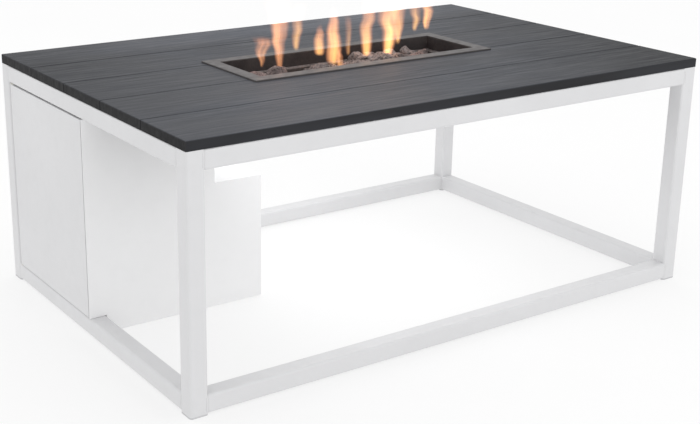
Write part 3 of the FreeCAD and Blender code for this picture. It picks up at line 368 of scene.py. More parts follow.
def powder_coat(name, colour, tone=0.05, peel=0.00003, low=0.34, high=0.44):
    """Baked powder paint: slightly clouded, with a fine orange peel."""
    material, tree, shader = new_finish(name, Specular_IOR_Level=0.5)
    shade = patchy(tree, 0.3, 0.7, 3.5, detail=2.0)
    settled = patchy(tree, 0.45, 0.8, 34.0, detail=5.0, roughness=0.65)
    coat = mix(shade, opaque(colour, 1 - tone), opaque(colour))
    dusty = opaque(colour, 1 - 1.6 * tone)
    feed(shader, Base_Color=mix(times(settled, 0.5), coat, dusty),
         Roughness=remap(cloud(tree, 60.0), 0.3, 0.7, low, high))
    bump(shader, (cloud(tree, 420.0, detail=1.0), peel))
    return material


# How far below the boards' top the cut edge ends and the face begins, in metres
EDGE_END, FACE_START = 0.0016, 0.0004
# Painted shade on two corners of the boards and a painted highlight on the other two, by the
# product of the distances from the line x = 0 and from the line across the boards at the Y given
# below, in square metres
CORNER_LIGHT_LINE = 0.087
CORNER_LIGHT_START, CORNER_LIGHT_END = -0.2, 0.24
CORNER_SHADE, CORNER_HIGHLIGHT = 0.48, 1.33
# Painted highlight on the back board: where it starts to be paler and where it is palest, in
# metres from the middle
BACK_LIGHT_START, BACK_LIGHT_END = 0.25, 0.32
BACK_LIGHT_GAIN = 1.5


def streaked_board(colours, table_z):
    """Brushed wood-look board: long streaks along X, dark grain, black edges, painted shade at the
    ends and on two corners, painted highlight on the other two corners and on the back board.
    """
    material, tree, shader = new_finish("board_charcoal", Specular_IOR_Level=0.14)
    broad = patchy(tree, 0.33, 0.67, 1.0, (2.4, 24, 20), distortion=0.8)
    fine = patchy(tree, 0.36, 0.64, 1.0, (7, 130, 60), detail=5.0, roughness=0.65, distortion=0.3)
    hair = patchy(tree, 0.36, 0.66, 1.0, (24, 460, 120), roughness=0.6)
    patches = patchy(tree, 0.38, 0.66, 1.0, (2.2, 5.0, 1), distortion=0.8)
    grain = remap(cloud(tree, 1.0, (16, 330, 60), detail=2.0), 0.62, 0.72, smooth=True)
    here = axes(place_on(tree))
    worn = remap(plus(here["X"], here["Y"]), -0.8, 0.5, 0.4, 1.0)
    strength = times(worn, remap(patches, 0.0, 1.0, 0.35, 1.0))
    streak = plus(times(broad, 0.2), times(fine, 0.45), times(hair, 0.35))
    streak = between(strength, 0.55, streak)
    top = mix(streak, opaque(colours.board_dark), opaque(colours.board_light))
    top = mix(times(patches, 0.4), top, opaque(colours.board_cool))
    top = mix(times(grain, strength, 0.8), top, opaque(colours.board_edge))
    # Painted shade: the boards darken towards both ends
    end_shade = remap(maths("ABSOLUTE", here["X"]), 0.3, 0.56)
    top = mix(times(end_shade, 0.75), top, opaque(colours.board_dark))
    # Painted shade on two corners of the boards and painted highlight on the other two
    corner_light = times(here["X"], plus(here["Y"], -CORNER_LIGHT_LINE))
    corner_light = remap(corner_light, CORNER_LIGHT_START, CORNER_LIGHT_END, CORNER_SHADE, CORNER_HIGHLIGHT)
    # Painted highlight: the back board is paler
    back = remap(here["Y"], BACK_LIGHT_START, BACK_LIGHT_END, 1.0, BACK_LIGHT_GAIN)
    top = scaled(top, times(corner_light, back))
    on_top = remap(here["Z"], table_z - EDGE_END, table_z - FACE_START, smooth=True)
    facing = axes(add(tree, "ShaderNodeNewGeometry").outputs["Normal"])["X"]
    facing = remap(maths("ABSOLUTE", facing), 0.5, 0.9)
    side = mix(times(broad, 0.7), opaque(colours.board_edge), opaque(colours.board_dark))
    cut = mix(facing, side, opaque(colours.board_edge, 0.5))
    feed(shader, Base_Color=mix(on_top, cut, top),
         Roughness=remap(fine, 0.0, 1.0, 0.64, 0.48))
    bump(shader, *[(times(relief, on_top), depth) for relief, depth in
                         ((fine, 0.00022), (hair, 0.0001), (grain, -0.00015))])
    return material


def sooty(name, dark, brown, amount, ledge=None):
    """Matt heatproof black with burnt brown patches, greyer and lighter from a ledge's height up:
    ash grey and painted light of the flames.
    """
    material, tree, shader = new_finish(name, Specular_IOR_Level=0.35)
    patch = patchy(tree, 0.42, 0.72, 13.0, detail=6.0, roughness=0.62, distortion=0.6)
    speck = patchy(tree, 0.5, 0.75, 210.0, detail=2.0)
    burnt = times(plus(patch, times(speck, 0.4)), amount)
    colour = mix(burnt, opaque(dark), opaque(brown))
    if ledge:
        height = axes(place_on(tree))["Z"]
        # From the ledge up: ash grey and painted light of the flames
        ash_and_flame_light = mix(burnt, opaque(brown), opaque(brown, 3))
        colour = mix(remap(height, ledge - 0.003, ledge - 0.0005), colour, ash_and_flame_light)
    feed(shader, Base_Color=colour, Roughness=remap(patch, 0.0, 1.0, 0.55, 0.85))
    bump(shader, (cloud(tree, 260.0), 0.00006))
    return material


def porous_stone(colours):
    """Lava stone: brown grey, lighter between its pores, with painted shade in its pores and a
    random darker tone, some of it rust red.
    """
    material, tree, shader = new_finish("lava_stone", Specular_IOR_Level=0.25)
    dark = opaque(colours.stone_dark)
    body = patchy(tree, 0.32, 0.6, 60.0, detail=6.0, roughness=0.75)
    tone = patchy(tree, 0.35, 0.65, 20.0, detail=1.0)
    red = patchy(tree, 0.5, 0.68, 15.0, detail=2.0)
    large = remap(cells(tree, 240.0), 0.12, 0.46, smooth=True)
    small = remap(cells(tree, 900.0), 0.1, 0.4, smooth=True)
    pores = times(large, plus(times(small, 0.5), 0.5))
    ridge = mix(red, opaque(colours.stone_light), opaque(colours.stone_red))
    # Painted shade in the pores, times a random darker tone from the body noise
    pore_shade_and_tone = remap(times(pores, body), 0.0, 1.0, 0.16, 1.0)
    colour = mix(pore_shade_and_tone, dark, ridge)
    feed(shader, Base_Color=mix(times(tone, 0.4), colour, dark),
         Roughness=remap(body, 0.0, 1.0, 0.95, 0.78))
    rough = cloud(tree, 160.0, detail=6.0, roughness=0.75)
    bump(shader, (rough, 0.0016), (large, 0.0009), (small, 0.0003))
    return material


def worked_metal(name, colour, tone, low, high, grain=(1, 1, 1), scale=180.0, depth=0.00003,
                 spots=0.0):
    """Bare or plated metal: its grain runs the way it was worked, and its gloss varies."""
    material, tree, shader = new_finish(name, Metallic=1.0)
    lines = patchy(tree, 0.32, 0.68, scale, grain)
    base = mix(lines, opaque(colour, 1 - tone), opaque(colour))
    if spots:
        stain = patchy(tree, 0.4, 0.72, 28.0, detail=5.0, roughness=0.6)
        base = mix(stain, base, opaque(colour, 1 - spots))
    feed(shader, Base_Color=base, Roughness=remap(lines, 0.0, 1.0, low, high))
    bump(shader, (lines, depth))
    return material


def moulded(name, colour, tone=0.25, low=0.45, high=0.6, scale=520.0, depth=0.00005):
    """Moulded plastic or rubber with a fine spark-eroded texture and faint flow marks."""
    material, tree, shader = new_finish(name, Specular_IOR_Level=0.5)
    flow = patchy(tree, 0.35, 0.7, 24.0, (1, 1, 0.3))
    texture = cloud(tree, scale, detail=2.0)
    feed(shader, Base_Color=mix(flow, opaque(colour, 1 - tone), opaque(colour)),
         Roughness=remap(texture, 0.35, 0.65, low, high))
    bump(shader, (texture, depth))
    return material


# Geometry trees

def new_tree(name, **sockets):
    """A geometry tree with named inputs; gives the outputs of its input node."""
    tree = bpy.data.node_groups.new(name, "GeometryNodeTree")
    new_socket = tree.interface.new_socket
    new_socket("Geometry", in_out="INPUT", socket_type="NodeSocketGeometry")
    new_socket("Geometry", in_out="OUTPUT", socket_type="NodeSocketGeometry")
    for label, kind in {**sockets, "Finish": "Material"}.items():
        new_socket(label.replace("_", " "), in_out="INPUT", socket_type="NodeSocket" + kind)
    return tree.nodes.new("NodeGroupInput").outputs


def shaped(kind, geometry, **inputs):
    """The geometry that a node makes of another."""
    return made("GeometryNode" + kind, {"Geometry": geometry, **inputs}, "Geometry")


def end_tree(geometry, given):
    """Makes the instances real, gives them their finish and ends the tree."""
    real = shaped("RealizeInstances", geometry)
    smooth = shaped("SetShadeSmooth", real)
    done = shaped("SetMaterial", smooth, Material=given["Finish"])
    add(done.id_data, "NodeGroupOutput", {"Geometry": done})
    return done.id_data


def on_points(points, part, **inputs):
    """A copy of the part on every point."""
    inputs = {"Points": points, "Instance": part, **inputs}
    return made("GeometryNodeInstanceOnPoints", inputs, "Instances")


def chosen_part(given):
    """The mesh of the object that the tree's user picks."""
    return made("GeometryNodeObjectInfo", {"Object": given["Part"]}, "Geometry")


def parts_on_points():
    """Puts one part on every point of a mesh."""
    given = new_tree("Parts on points", Part="Object")
    placed = on_points(given["Geometry"], chosen_part(given))
    return end_tree(placed, given)


def parts_on_ring():
    """Puts one part at even steps on a ring or arc about the Y axis, turned outwards."""
    given = new_tree("Parts on a ring", Part="Object", Count="Int", Centre="Vector",
                     Radius="Float", Start="Float", Step="Float", Growth="Float")
    row = made("GeometryNodeMeshLine", {"Count": given["Count"]}, "Mesh")
    index = add(row.id_data, "GeometryNodeInputIndex").outputs["Index"]
    angle = plus(given["Start"], times(index, given["Step"]))
    spoke = joined(X=maths("COSINE", angle), Z=maths("SINE", angle))
    place = vector_maths("ADD", given["Centre"], scaled(spoke, given["Radius"]))
    ring = shaped("SetPosition", row, Position=place)
    turn = joined(Y=times(angle, -1.0))
    size = plus(1.0, times(index, given["Growth"]))
    placed = on_points(ring, chosen_part(given), Rotation=turn,
                       Scale=joined(X=size, Y=1.0, Z=size))
    return end_tree(placed, given)


def rough_stones():
    """Turns every point into a porous stone of the size that its reach gives."""
    given = new_tree("Rough stones", Detail="Int", Growth="Float", Lump_depth="Float",
                     Grain_depth="Float", Pore_depth="Float", Low_corner="Vector",
                     High_corner="Vector", Seed="Int")
    tree = given["Seed"].id_data
    inputs = {"Radius": 1.0, "Subdivisions": given["Detail"]}
    ball = made("GeometryNodeMeshIcoSphere", inputs, "Mesh")
    reach = add(tree, "GeometryNodeInputNamedAttribute", {"Name": "reach"},
                data_type="FLOAT_VECTOR").outputs["Attribute"]
    inputs = {"Min": (-0.3, -0.3, -math.pi), "Max": (0.3, 0.3, math.pi), "Seed": given["Seed"]}
    turn = made("FunctionNodeRandomValue", inputs, "Value", data_type="FLOAT_VECTOR")
    placed = on_points(given["Geometry"], ball, Rotation=turn,
                       Scale=scaled(reach, given["Growth"]))
    shape = shaped("RealizeInstances", placed)
    here = add(tree, "GeometryNodeInputPosition").outputs["Position"]
    normal = add(tree, "GeometryNodeInputNormal").outputs["Normal"]
    lumps = made("ShaderNodeTexNoise", {"Vector": here, "Scale": 30.0, "Detail": 1.0}, "Color")
    lumps = vector_maths("SUBTRACT", lumps, (0.5, 0.5, 0.5))
    shape = shaped("SetPosition", shape, Offset=scaled(lumps, given["Lump depth"]))
    inputs = {"Vector": here, "Scale": 70.0, "Detail": 6.0, "Roughness": 0.65}
    grain = maths("SUBTRACT", made("ShaderNodeTexNoise", inputs, "Fac"), 0.5)
    pores = made("ShaderNodeTexVoronoi", {"Vector": here, "Scale": 170.0}, "Distance")
    pores = remap(pores, 0.12, 0.45, -1.0, 0.0, smooth=True)
    for relief, depth in ((grain, "Grain depth"), (pores, "Pore depth")):
        offset = scaled(normal, times(relief, given[depth]))
        shape = shaped("SetPosition", shape, Offset=offset)
    kept = vector_maths("MAXIMUM", here, given["Low corner"])
    kept = vector_maths("MINIMUM", kept, given["High corner"])
    return end_tree(shaped("SetPosition", shape, Position=kept), given)


# Meshes

def point_mesh(name, places=((0, 0, 0),), reaches=()):
    """A mesh of loose points, with half sizes where stones need them."""
    mesh = bpy.data.meshes.new(name)
    mesh.from_pydata([tuple(place) for place in places], [], [])
    if reaches:
        attribute = mesh.attributes.new("reach", "FLOAT_VECTOR", "POINT")
        for item, reach in zip(attribute.data, reaches):
            item.vector = reach
    return mesh


def grow(name, tree, mesh, values):
    """Runs a geometry tree on a mesh and keeps the result as a plain mesh at the origin."""
    piece = bpy.data.objects.new(name, mesh)
    bpy.context.scene.collection.objects.link(piece)
    modifier = piece.modifiers.new(tree.name, "NODES")
    modifier.node_group = tree
    for item in tree.interface.items_tree:
        if item.in_out == "INPUT" and item.name in values:
            modifier[item.identifier] = values[item.name]
    graph = bpy.context.evaluated_depsgraph_get()
    result = bpy.data.meshes.new_from_object(piece.evaluated_get(graph), depsgraph=graph)
    piece.modifiers.remove(modifier)
    piece.data = result
    result.name = name
    if not result.polygons:
        raise RuntimeError("%s came out empty" % name)
    return piece


def finish_piece(piece, body, replaced=()):
    """Says what a new piece rides on, and hides the nodes that it stands for."""
    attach(piece, body)
    if replaced:
        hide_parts(*replaced)


def mesh_from(shape, name):
    """Keeps a worked shape as a mesh and lets the shape go."""
    mesh = bpy.data.meshes.new(name)
    shape.to_mesh(mesh)
    shape.free()
    return mesh


def lathe(name, profile, axis, sides=24):
    """A turned part of rings (radius, height, corners), with 6 corners for a hexagon or 0.

    A profile that comes back to its first ring makes a closed collar.
    """
    shape = bmesh.new()
    turn = Vector((0, 0, 1)).rotation_difference(Vector(axis)).to_matrix()
    rings = []
    for radius, height, corners in profile:
        if radius == 0:
            rings.append([shape.verts.new(turn @ Vector((0, 0, height)))])
            continue
        ring = []
        for step in range(sides):
            angle = math.tau * step / sides
            reach = radius
            if corners:
                part = math.pi / corners
                reach = radius * math.cos(part) / math.cos(angle % (2 * part) - part)
            spot = Vector((reach * math.cos(angle), reach * math.sin(angle), height))
            ring.append(shape.verts.new(turn @ spot))
        rings.append(ring)
    for low, high in zip(rings, rings[1:]):
        for step in range(sides):
            after = (step + 1) % sides
            corners = [low[step % len(low)], low[after % len(low)],
                       high[after % len(high)], high[step % len(high)]]
            shape.faces.new(list(dict.fromkeys(corners)))
    if profile[0] == profile[-1]:
        bmesh.ops.remove_doubles(shape, verts=shape.verts, dist=MERGE_DISTANCE)
    bmesh.ops.recalc_face_normals(shape, faces=shape.faces)
    return bpy.data.objects.new(name, mesh_from(shape, name))


def rounded_bar(name, low, high, bevel, material):
    """A small bar between two corners with rounded edges, closed and at the origin."""
    shape = bmesh.new()
    bmesh.ops.create_cube(shape, size=1.0)
    middle, spread = (low + high) / 2, high - low
    for vertex in shape.verts:
        vertex.co = Vector([m + v * s for m, v, s in zip(middle, vertex.co, spread)])
    bmesh.ops.bevel(shape, geom=shape.edges[:], offset=bevel, segments=3, profile=0.5,
                    affect="EDGES")
    mesh = mesh_from(shape, name)
    mesh.materials.append(material)
    piece = bpy.data.objects.new(name, mesh)
    bpy.context.scene.collection.objects.link(piece)
    return piece


CORNER_STEPS = 4


def tube_stub(name, size, corner, axis):
    """A closed slice of square tube section, as long as the section's corner radius."""
    flat = 0.5 * size - corner
    ring = []
    for quarter, (across, up) in enumerate(((1, 1), (-1, 1), (-1, -1), (1, -1))):
        for step in range(CORNER_STEPS + 1):
            turn = math.radians(90 * (quarter + step / CORNER_STEPS))
            ring.append((across * flat + corner * math.cos(turn),
                         up * flat + corner * math.sin(turn)))
    shape = bmesh.new()
    ends = []
    for place in (-corner / 2, corner / 2):
        points = [(place, u, v) if axis == "X" else (u, place, v) for u, v in ring]
        ends.append([shape.verts.new(point) for point in points])
    for step in range(len(ring)):
        after = (step + 1) % len(ring)
        shape.faces.new((ends[0][step], ends[0][after], ends[1][after], ends[1][step]))
    shape.faces.new(ends[0])
    shape.faces.new(ends[1])
    bmesh.ops.recalc_face_normals(shape, faces=shape.faces)
    return bpy.data.objects.new(name, mesh_from(shape, name))


# Operators

class FIREPIT_OT_frame_finish(bpy.types.Operator):
    """Powder coat on the tube frame, the bearers, the door and the cabinet's sheets"""

    bl_idname = "firepit.frame_finish"
    bl_label = "Frame and cabinet finish"

    def execute(self, context):
        colours = context.scene.fire_colours
        white = nodes_with("white_paint")
        frame_nodes = [name for name in white if name == "bottle_door" or "_rail_" in name
                       or name.startswith(("leg_", "bearer_"))]
        sheets = [name for name in white if name not in frame_nodes]
        paint(frame_nodes, powder_coat("frame_white", colours.frame_white))
        paint(sheets, powder_coat("cabinet_white", colours.cabinet_white, tone=0.035))
        return {"FINISHED"}


class FIREPIT_OT_frame_welds(bpy.types.Operator):
    """Welds, ground flush, in the grooves between the rails' ends and the legs' round corners"""

    bl_idname = "firepit.frame_welds"
    bl_label = "Frame welds"

    def execute(self, context):
        corner = context.scene.fire_parts.tube_corner
        white = bpy.data.materials["frame_white"]
        tree = parts_on_points()
        for axis, sides in (("X", ("front", "back")), ("Y", ("left", "right"))):
            places = []
            for side in sides:
                for level in ("top", "bottom"):
                    low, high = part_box("%s_rail_%s" % (level, side))
                    middle = (low + high) / 2
                    out = high - middle
                    out = Vector((out.x, 0, 0)) if axis == "X" else Vector((0, out.y, 0))
                    out = out + out.normalized() * corner / 2
                    places += [middle - out, middle + out]
            stub = tube_stub("weld", high.z - low.z, corner, axis)
            welds = grow("frame_welds_%s" % axis.lower(), tree, point_mesh("weld_places", places),
                         {"Part": stub, "Finish": white})
            finish_piece(welds, "table")
            bpy.data.objects.remove(stub)
        return {"FINISHED"}


class FIREPIT_OT_board_finish(bpy.types.Operator):
    """Brushed wood look on the boards"""

    bl_idname = "firepit.board_finish"
    bl_label = "Board finish"

    def execute(self, context):
        boards = nodes_with("plank_board")
        table_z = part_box(boards[0])[1].z
        paint(boards, streaked_board(context.scene.fire_colours, table_z))
        return {"FINISHED"}


class FIREPIT_OT_burner_finish(bpy.types.Operator):
    """Finishes of the burner's rim, pan, tray, loop and electrodes"""

    bl_idname = "firepit.burner_finish"
    bl_label = "Burner finish"

    def execute(self, context):
        colours = context.scene.fire_colours
        soot, brown = colours.soot, colours.soot_brown
        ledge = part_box("lava_tray")[1].z
        paint(nodes_with("rim_paint"), powder_coat("rim_taupe", colours.rim_taupe, tone=0.22,
                                                   peel=0.00006, low=0.42, high=0.56))
        paint(nodes_with("pan_black"), sooty("pan_soot", soot, brown, 0.55))
        paint(nodes_with("tray_black"), sooty("tray_soot", soot, brown, 0.9, ledge=ledge))
        paint_slot("burner_steel", worked_metal, (0.40, 0.36, 0.33), 0.3, 0.38, 0.6,
                   scale=120.0, spots=0.55)
        paint_slot("white_ceramic", moulded, (0.80, 0.78, 0.72), 0.08, 0.18, 0.3, 260.0, 0.00001)
        paint_slot("copper_brass", worked_metal, (0.70, 0.40, 0.27), 0.2, 0.28, 0.42, spots=0.4)
        return {"FINISHED"}


class FIREPIT_OT_stones(bpy.types.Operator):
    """Porous lava stones in place of the plain solids, with small ones between them"""

    bl_idname = "firepit.stones"
    bl_label = "Lava stones"

    # How far the stones keep from the tray's outline, in metres
    BED_EDGE = 0.018
    # Subdivisions of a stone and of a small stone
    STONE_DETAIL, CHIP_DETAIL = 4, 3
    # Height of a small stone's centre above the rocks' lowest point, against its half width
    CHIP_LIFT = 0.75

    def execute(self, context):
        sizes = context.scene.fire_stones
        stone = porous_stone(context.scene.fire_colours)
        boxes = loose_boxes("lava_rocks")
        low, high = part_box("lava_rocks")
        bed_low, bed_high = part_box("lava_tray")
        edge = self.BED_EDGE
        values = {
            "Growth": sizes.growth, "Lump depth": sizes.lump_depth,
            "Grain depth": sizes.grain_depth, "Pore depth": sizes.pore_depth,
            "Seed": sizes.seed, "Finish": stone, "Detail": self.STONE_DETAIL,
            "Low corner": (bed_low.x + edge, bed_low.y + edge, low.z),
            "High corner": (bed_high.x - edge, bed_high.y - edge, high.z + sizes.peak),
        }
        tree = rough_stones()
        places = [(box[0] + box[1]) / 2 for box in boxes]
        reaches = [(box[1] - box[0]) / 2 for box in boxes]
        stones = grow("lava_stones", tree, point_mesh("stone_places", places, reaches), values)
        finish_piece(stones, "table", ["lava_rocks"])
        rng = random.Random(sizes.seed)
        places, reaches = [], []
        while len(places) < sizes.chip_count:
            half = sizes.chip_size * rng.uniform(0.65, 1.35)
            places.append(Vector((rng.uniform(low.x, high.x), rng.uniform(low.y, high.y),
                                  low.z + self.CHIP_LIFT * half)))
            reaches.append((half, half * rng.uniform(0.75, 1.0), half * rng.uniform(0.7, 0.95)))
        values["Detail"] = self.CHIP_DETAIL
        for depth in ("Lump depth", "Grain depth", "Pore depth"):
            values[depth] /= 2
        chips = grow("lava_chips", tree, point_mesh("chip_places", places, reaches), values)
        finish_piece(chips, "table")
        return {"FINISHED"}


class FIREPIT_OT_fasteners(bpy.types.Operator):
    """Socket screws and domed rivets of the cabinet"""

    bl_idname = "firepit.fasteners"
    bl_label = "Screws and rivets"

    # Height of a head against its radius
    SCREW_RISE, RIVET_RISE = 0.5, 0.35
    # Shares of the head's radius and of its height, from its seat up
    SCREW_HEAD = ((1, 0), (1, 0.45), (0.93, 0.75), (0.75, 0.95), (0.55, 1))
    RIVET_HEAD = ((1, 0), (1, 0.2), (0.85, 0.6), (0.6, 0.9), (0.3, 1), (0.24, 1), (0.2, 0.3),
                  (0, 0.3))

    def execute(self, context):
        socket = context.scene.fire_parts.screw_socket
        zinc = paint_slot("zinc_steel", worked_metal, (0.60, 0.61, 0.62), 0.18, 0.3, 0.46,
                          (1, 1, 0.15), spots=0.2)
        white = bpy.data.materials["cabinet_white"]
        tree = parts_on_points()
        screws = self.turn_all("socket_screws", "panel_screws", 1, self.SCREW_RISE,
                               self.SCREW_HEAD, tree, zinc, socket)
        finish_piece(screws, "table", ["panel_screws"])
        rivets = self.turn_all("domed_rivets", "cabinet_rivets", 0, self.RIVET_RISE,
                               self.RIVET_HEAD, tree, white)
        finish_piece(rivets, "table", ["cabinet_rivets"])
        return {"FINISHED"}

    def turn_all(self, name, node, axis, rise_share, crown, tree, finish, socket=0.0):
        """Turns one fastener along an axis and puts it in place of each of a node's solids."""
        boxes = loose_boxes(node)
        low, high = boxes[0]
        across = (axis + 2) % 3
        head = (high[across] - low[across]) / 2
        rise = rise_share * head
        length = high[axis] - low[axis] - rise
        profile = [(0, -length, 0), (head / 2, -length, 0), (head / 2, 0, 0)]
        profile += [(wide * head, up * rise, 0) for wide, up in crown]
        if socket:
            profile += [(socket, 0.97 * rise, 6), (0.94 * socket, 0.2 * rise, 6),
                        (0, 0.1 * rise, 0)]
        fastener = lathe(node, profile, Matrix.Identity(3)[axis])
        places = []
        for low, high in boxes:
            place = (low + high) / 2
            place[axis] = high[axis] - rise
            places.append(place)
        piece = grow(name, tree, point_mesh("fastener_places", places),
                     {"Part": fastener, "Finish": finish})
        bpy.data.objects.remove(fastener)
        return piece


class FIREPIT_OT_controls(bpy.types.Operator):
    """Ribs and pointer of the gas knob, marks on its plate, and the push button's chrome"""

    bl_idname = "firepit.controls"
    bl_label = "Knob, plate and button"

    # Height of the ribbed skirt against the knob's height
    SKIRT = 0.3
    # Distance from the knob's edge to the ring of dots, in metres, and how each dot grows
    MARK_GAP = 0.006
    MARK_GROWTH = 0.12
    MARK_START, MARK_ARC = math.radians(90), math.radians(270)
    # Half width and height of the pointer, in metres, and its ends as shares of the radius
    POINTER_HALF, POINTER_PROUD = 0.0011, 0.0003
    POINTER_START, POINTER_END = 0.25, 0.85

    def execute(self, context):
        sizes = context.scene.fire_parts
        black = paint_slot("knob_black", moulded, (0.030, 0.030, 0.032))
        paint_slot("plate_steel", worked_metal, (0.58, 0.58, 0.58), 0.16, 0.26, 0.42,
                   (0.03, 1, 1), 900.0)
        paint_slot("button_chrome", worked_metal, (0.75, 0.76, 0.78), 0.05, 0.07, 0.16,
                   scale=60.0, depth=0.000002)
        low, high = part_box("control_knob")
        centre = (low + high) / 2
        radius = (high.x - low.x) / 2
        tree = parts_on_ring()
        self.add_ribs(sizes, tree, black, Vector((centre.x, low.y, centre.z)), radius,
                      self.SKIRT * (high.y - low.y))
        self.add_marks(sizes, tree, centre, radius)
        low = (centre.x - self.POINTER_HALF, high.y - self.POINTER_PROUD,
               centre.z + self.POINTER_START * radius)
        high = (centre.x + self.POINTER_HALF, high.y + self.POINTER_PROUD,
                centre.z + self.POINTER_END * radius)
        ink = powder_coat("mark_white", (0.7, 0.7, 0.7), tone=0.1)
        bar = rounded_bar("knob_pointer", Vector(low), Vector(high), self.POINTER_PROUD / 2, ink)
        finish_piece(bar, "knob")
        return {"FINISHED"}

    def add_ribs(self, sizes, tree, finish, seat, radius, skirt):
        """Grip ribs round the skirt, sunk a little into it."""
        thick = sizes.rib_radius
        end = 0.8 * thick
        rib = lathe("rib", [(0, 0, 0), (thick, end, 0), (thick, skirt - end, 0), (0, skirt, 0)],
                    (0, 1, 0), 8)
        values = {"Part": rib, "Count": sizes.knob_ribs, "Centre": seat,
                  "Radius": radius - 0.3 * thick, "Start": 0.0,
                  "Step": math.tau / sizes.knob_ribs, "Growth": 0.0, "Finish": finish}
        ribs = grow("knob_ribs", tree, point_mesh("ring_start"), values)
        finish_piece(ribs, "knob")
        bpy.data.objects.remove(rib)

    def add_marks(self, sizes, tree, centre, radius):
        """Dots on the plate that grow along their arc."""
        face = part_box("control_plate")[1].y
        wide = sizes.mark_radius
        thin = wide / 4
        dot = lathe("dot", [(0, -thin, 0), (wide, -thin, 0), (wide, thin / 2, 0),
                            (0.8 * wide, thin, 0), (0, thin, 0)], (0, 1, 0), 16)
        values = {"Part": dot, "Count": sizes.scale_marks,
                  "Centre": Vector((centre.x, face, centre.z)), "Radius": radius + self.MARK_GAP,
                  "Start": self.MARK_START, "Step": self.MARK_ARC / (sizes.scale_marks - 1),
                  "Growth": self.MARK_GROWTH,
                  "Finish": powder_coat("mark_grey", (0.05, 0.05, 0.055), tone=0.3)}
        marks = grow("plate_marks", tree, point_mesh("arc_start"), values)
        finish_piece(marks, "table")
        bpy.data.objects.remove(dot)


class FIREPIT_OT_gas_line(bpy.types.Operator):
    """Barbs on the hose nozzle, and finishes of the valve, pipe and brass fittings"""

    bl_idname = "firepit.gas_line"
    bl_label = "Gas line"

    # Outer radius of the nozzle's tail and height of the first barb above its end, in metres
    TAIL = 0.004
    BARB_START = 0.0006

    def execute(self, context):
        sizes = context.scene.fire_parts
        brass = paint_slot("brass", worked_metal, (0.74, 0.56, 0.27), 0.15, 0.22, 0.36,
                           scale=300.0, spots=0.25)
        paint_slot("cast_aluminium", worked_metal, (0.56, 0.56, 0.56), 0.2, 0.45, 0.62,
                   scale=240.0, depth=0.00012)
        paint_slot("bent_aluminium", worked_metal, (0.70, 0.70, 0.70), 0.12, 0.25, 0.4,
                   (0.04, 1, 1), 500.0, spots=0.15)
        low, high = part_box("gas_inlet")
        tail, bore = self.TAIL, 0.8 * self.TAIL
        pitch = 1.1 * tail
        barb = lathe("barb", [(bore, 0, 0), (tail, 0, 0),
                              (tail + sizes.barb_height, 0.75 * pitch, 0),
                              (tail, 0.85 * pitch, 0), (bore, 0.85 * pitch, 0), (bore, 0, 0)],
                     (0, 0, 1), 32)
        middle = (low + high) / 2
        places = [Vector((middle.x, middle.y, low.z + self.BARB_START + pitch * step))
                  for step in range(sizes.barbs)]
        barbs = grow("hose_barbs", parts_on_points(), point_mesh("barb_places", places),
                     {"Part": barb, "Finish": brass})
        finish_piece(barbs, "table")
        bpy.data.objects.remove(barb)
        return {"FINISHED"}


class FIREPIT_OT_hidden_hardware(bpy.types.Operator):
    """Finishes of the glides, feet, bushes, grommet and latch"""

    bl_idname = "firepit.hidden_hardware"
    bl_label = "Hidden hardware"

    def execute(self, context):
        paint_slot("black_rubber", moulded, (0.022, 0.022, 0.022), 0.3, 0.6, 0.8, 340.0, 0.00008)
        paint_slot("grey_plastic", moulded, (0.56, 0.56, 0.57), 0.1)
        paint_slot("nylon", moulded, (0.66, 0.65, 0.60), 0.08, 0.35, 0.5)
        return {"FINISHED"}


def fire(sizes):
    """Glowing gas in a unit column; an object's red widens its flame, its green brightens it."""
    material = bpy.data.materials.new("fire")
    material.use_nodes = True
    tree = material.node_tree
    tree.nodes.clear()
    own = add(tree, "ShaderNodeTexCoord").outputs["Object"]
    kind = add(tree, "ShaderNodeObjectInfo").outputs
    look = add(tree, "ShaderNodeSeparateColor", {"Color": kind["Color"]}).outputs
    widening, brightness = look["Red"], look["Green"]
    height = axes(own)["Z"]
    left = maths("SUBTRACT", 1.0, height)
    seed = scaled(kind["Location"], 40.0)
    rise = vector_maths("ADD", joined(Z=times(height, 2.4)), seed)
    gust = made("ShaderNodeTexNoise", {"Vector": rise, "Scale": 1.0, "Detail": 2.0}, "Color")
    gust = vector_maths("SUBTRACT", gust, (0.5, 0.5, 0.5))
    gust = vector_maths("MULTIPLY", gust, (1, 1, 0))
    bent = vector_maths("ADD", own, scaled(gust, times(height, sizes.sway)))
    flat = vector_maths("MULTIPLY", bent, (1, 0.7, 0))
    aside = made("ShaderNodeVectorMath", {0: flat}, "Value", operation="LENGTH")
    pointed = times(1.25, maths("POWER", height, 0.3), maths("POWER", left, 0.8))
    wide = plus(0.12, maths("POWER", height, 1.2))
    width = between(widening, pointed, wide)
    dense = falling(maths("DIVIDE", aside, width), 0.2, 1.0)
    drawn = vector_maths("ADD", vector_maths("MULTIPLY", bent, (1.7, 1.7, 0.6)), seed)
    streak = made("ShaderNodeTexNoise", {"Vector": drawn, "Scale": 1.0, "Detail": 3.0}, "Fac")
    streak = remap(streak, 0.34, 0.6, 0.25, 1.0, smooth=True)
    ends = times(falling(left, 0.9, 1.0), falling(height, 0.72, 1.0))
    foot = remap(height, 0.05, 0.65, 2.2, -0.3)
    footed = plus(1.0, times(widening, foot))
    glow = times(dense, streak, ends, footed, brightness, sizes.strength)
    warm = times(dense, streak, falling(height, 0.2, 1.1))
    colour = mix(warm, opaque(sizes.fringe_colour), opaque(sizes.core_colour))
    light = made("ShaderNodeEmission", {"Color": colour, "Strength": glow}, "Emission")
    add(tree, "ShaderNodeOutputMaterial", {"Volume": light})
    return material


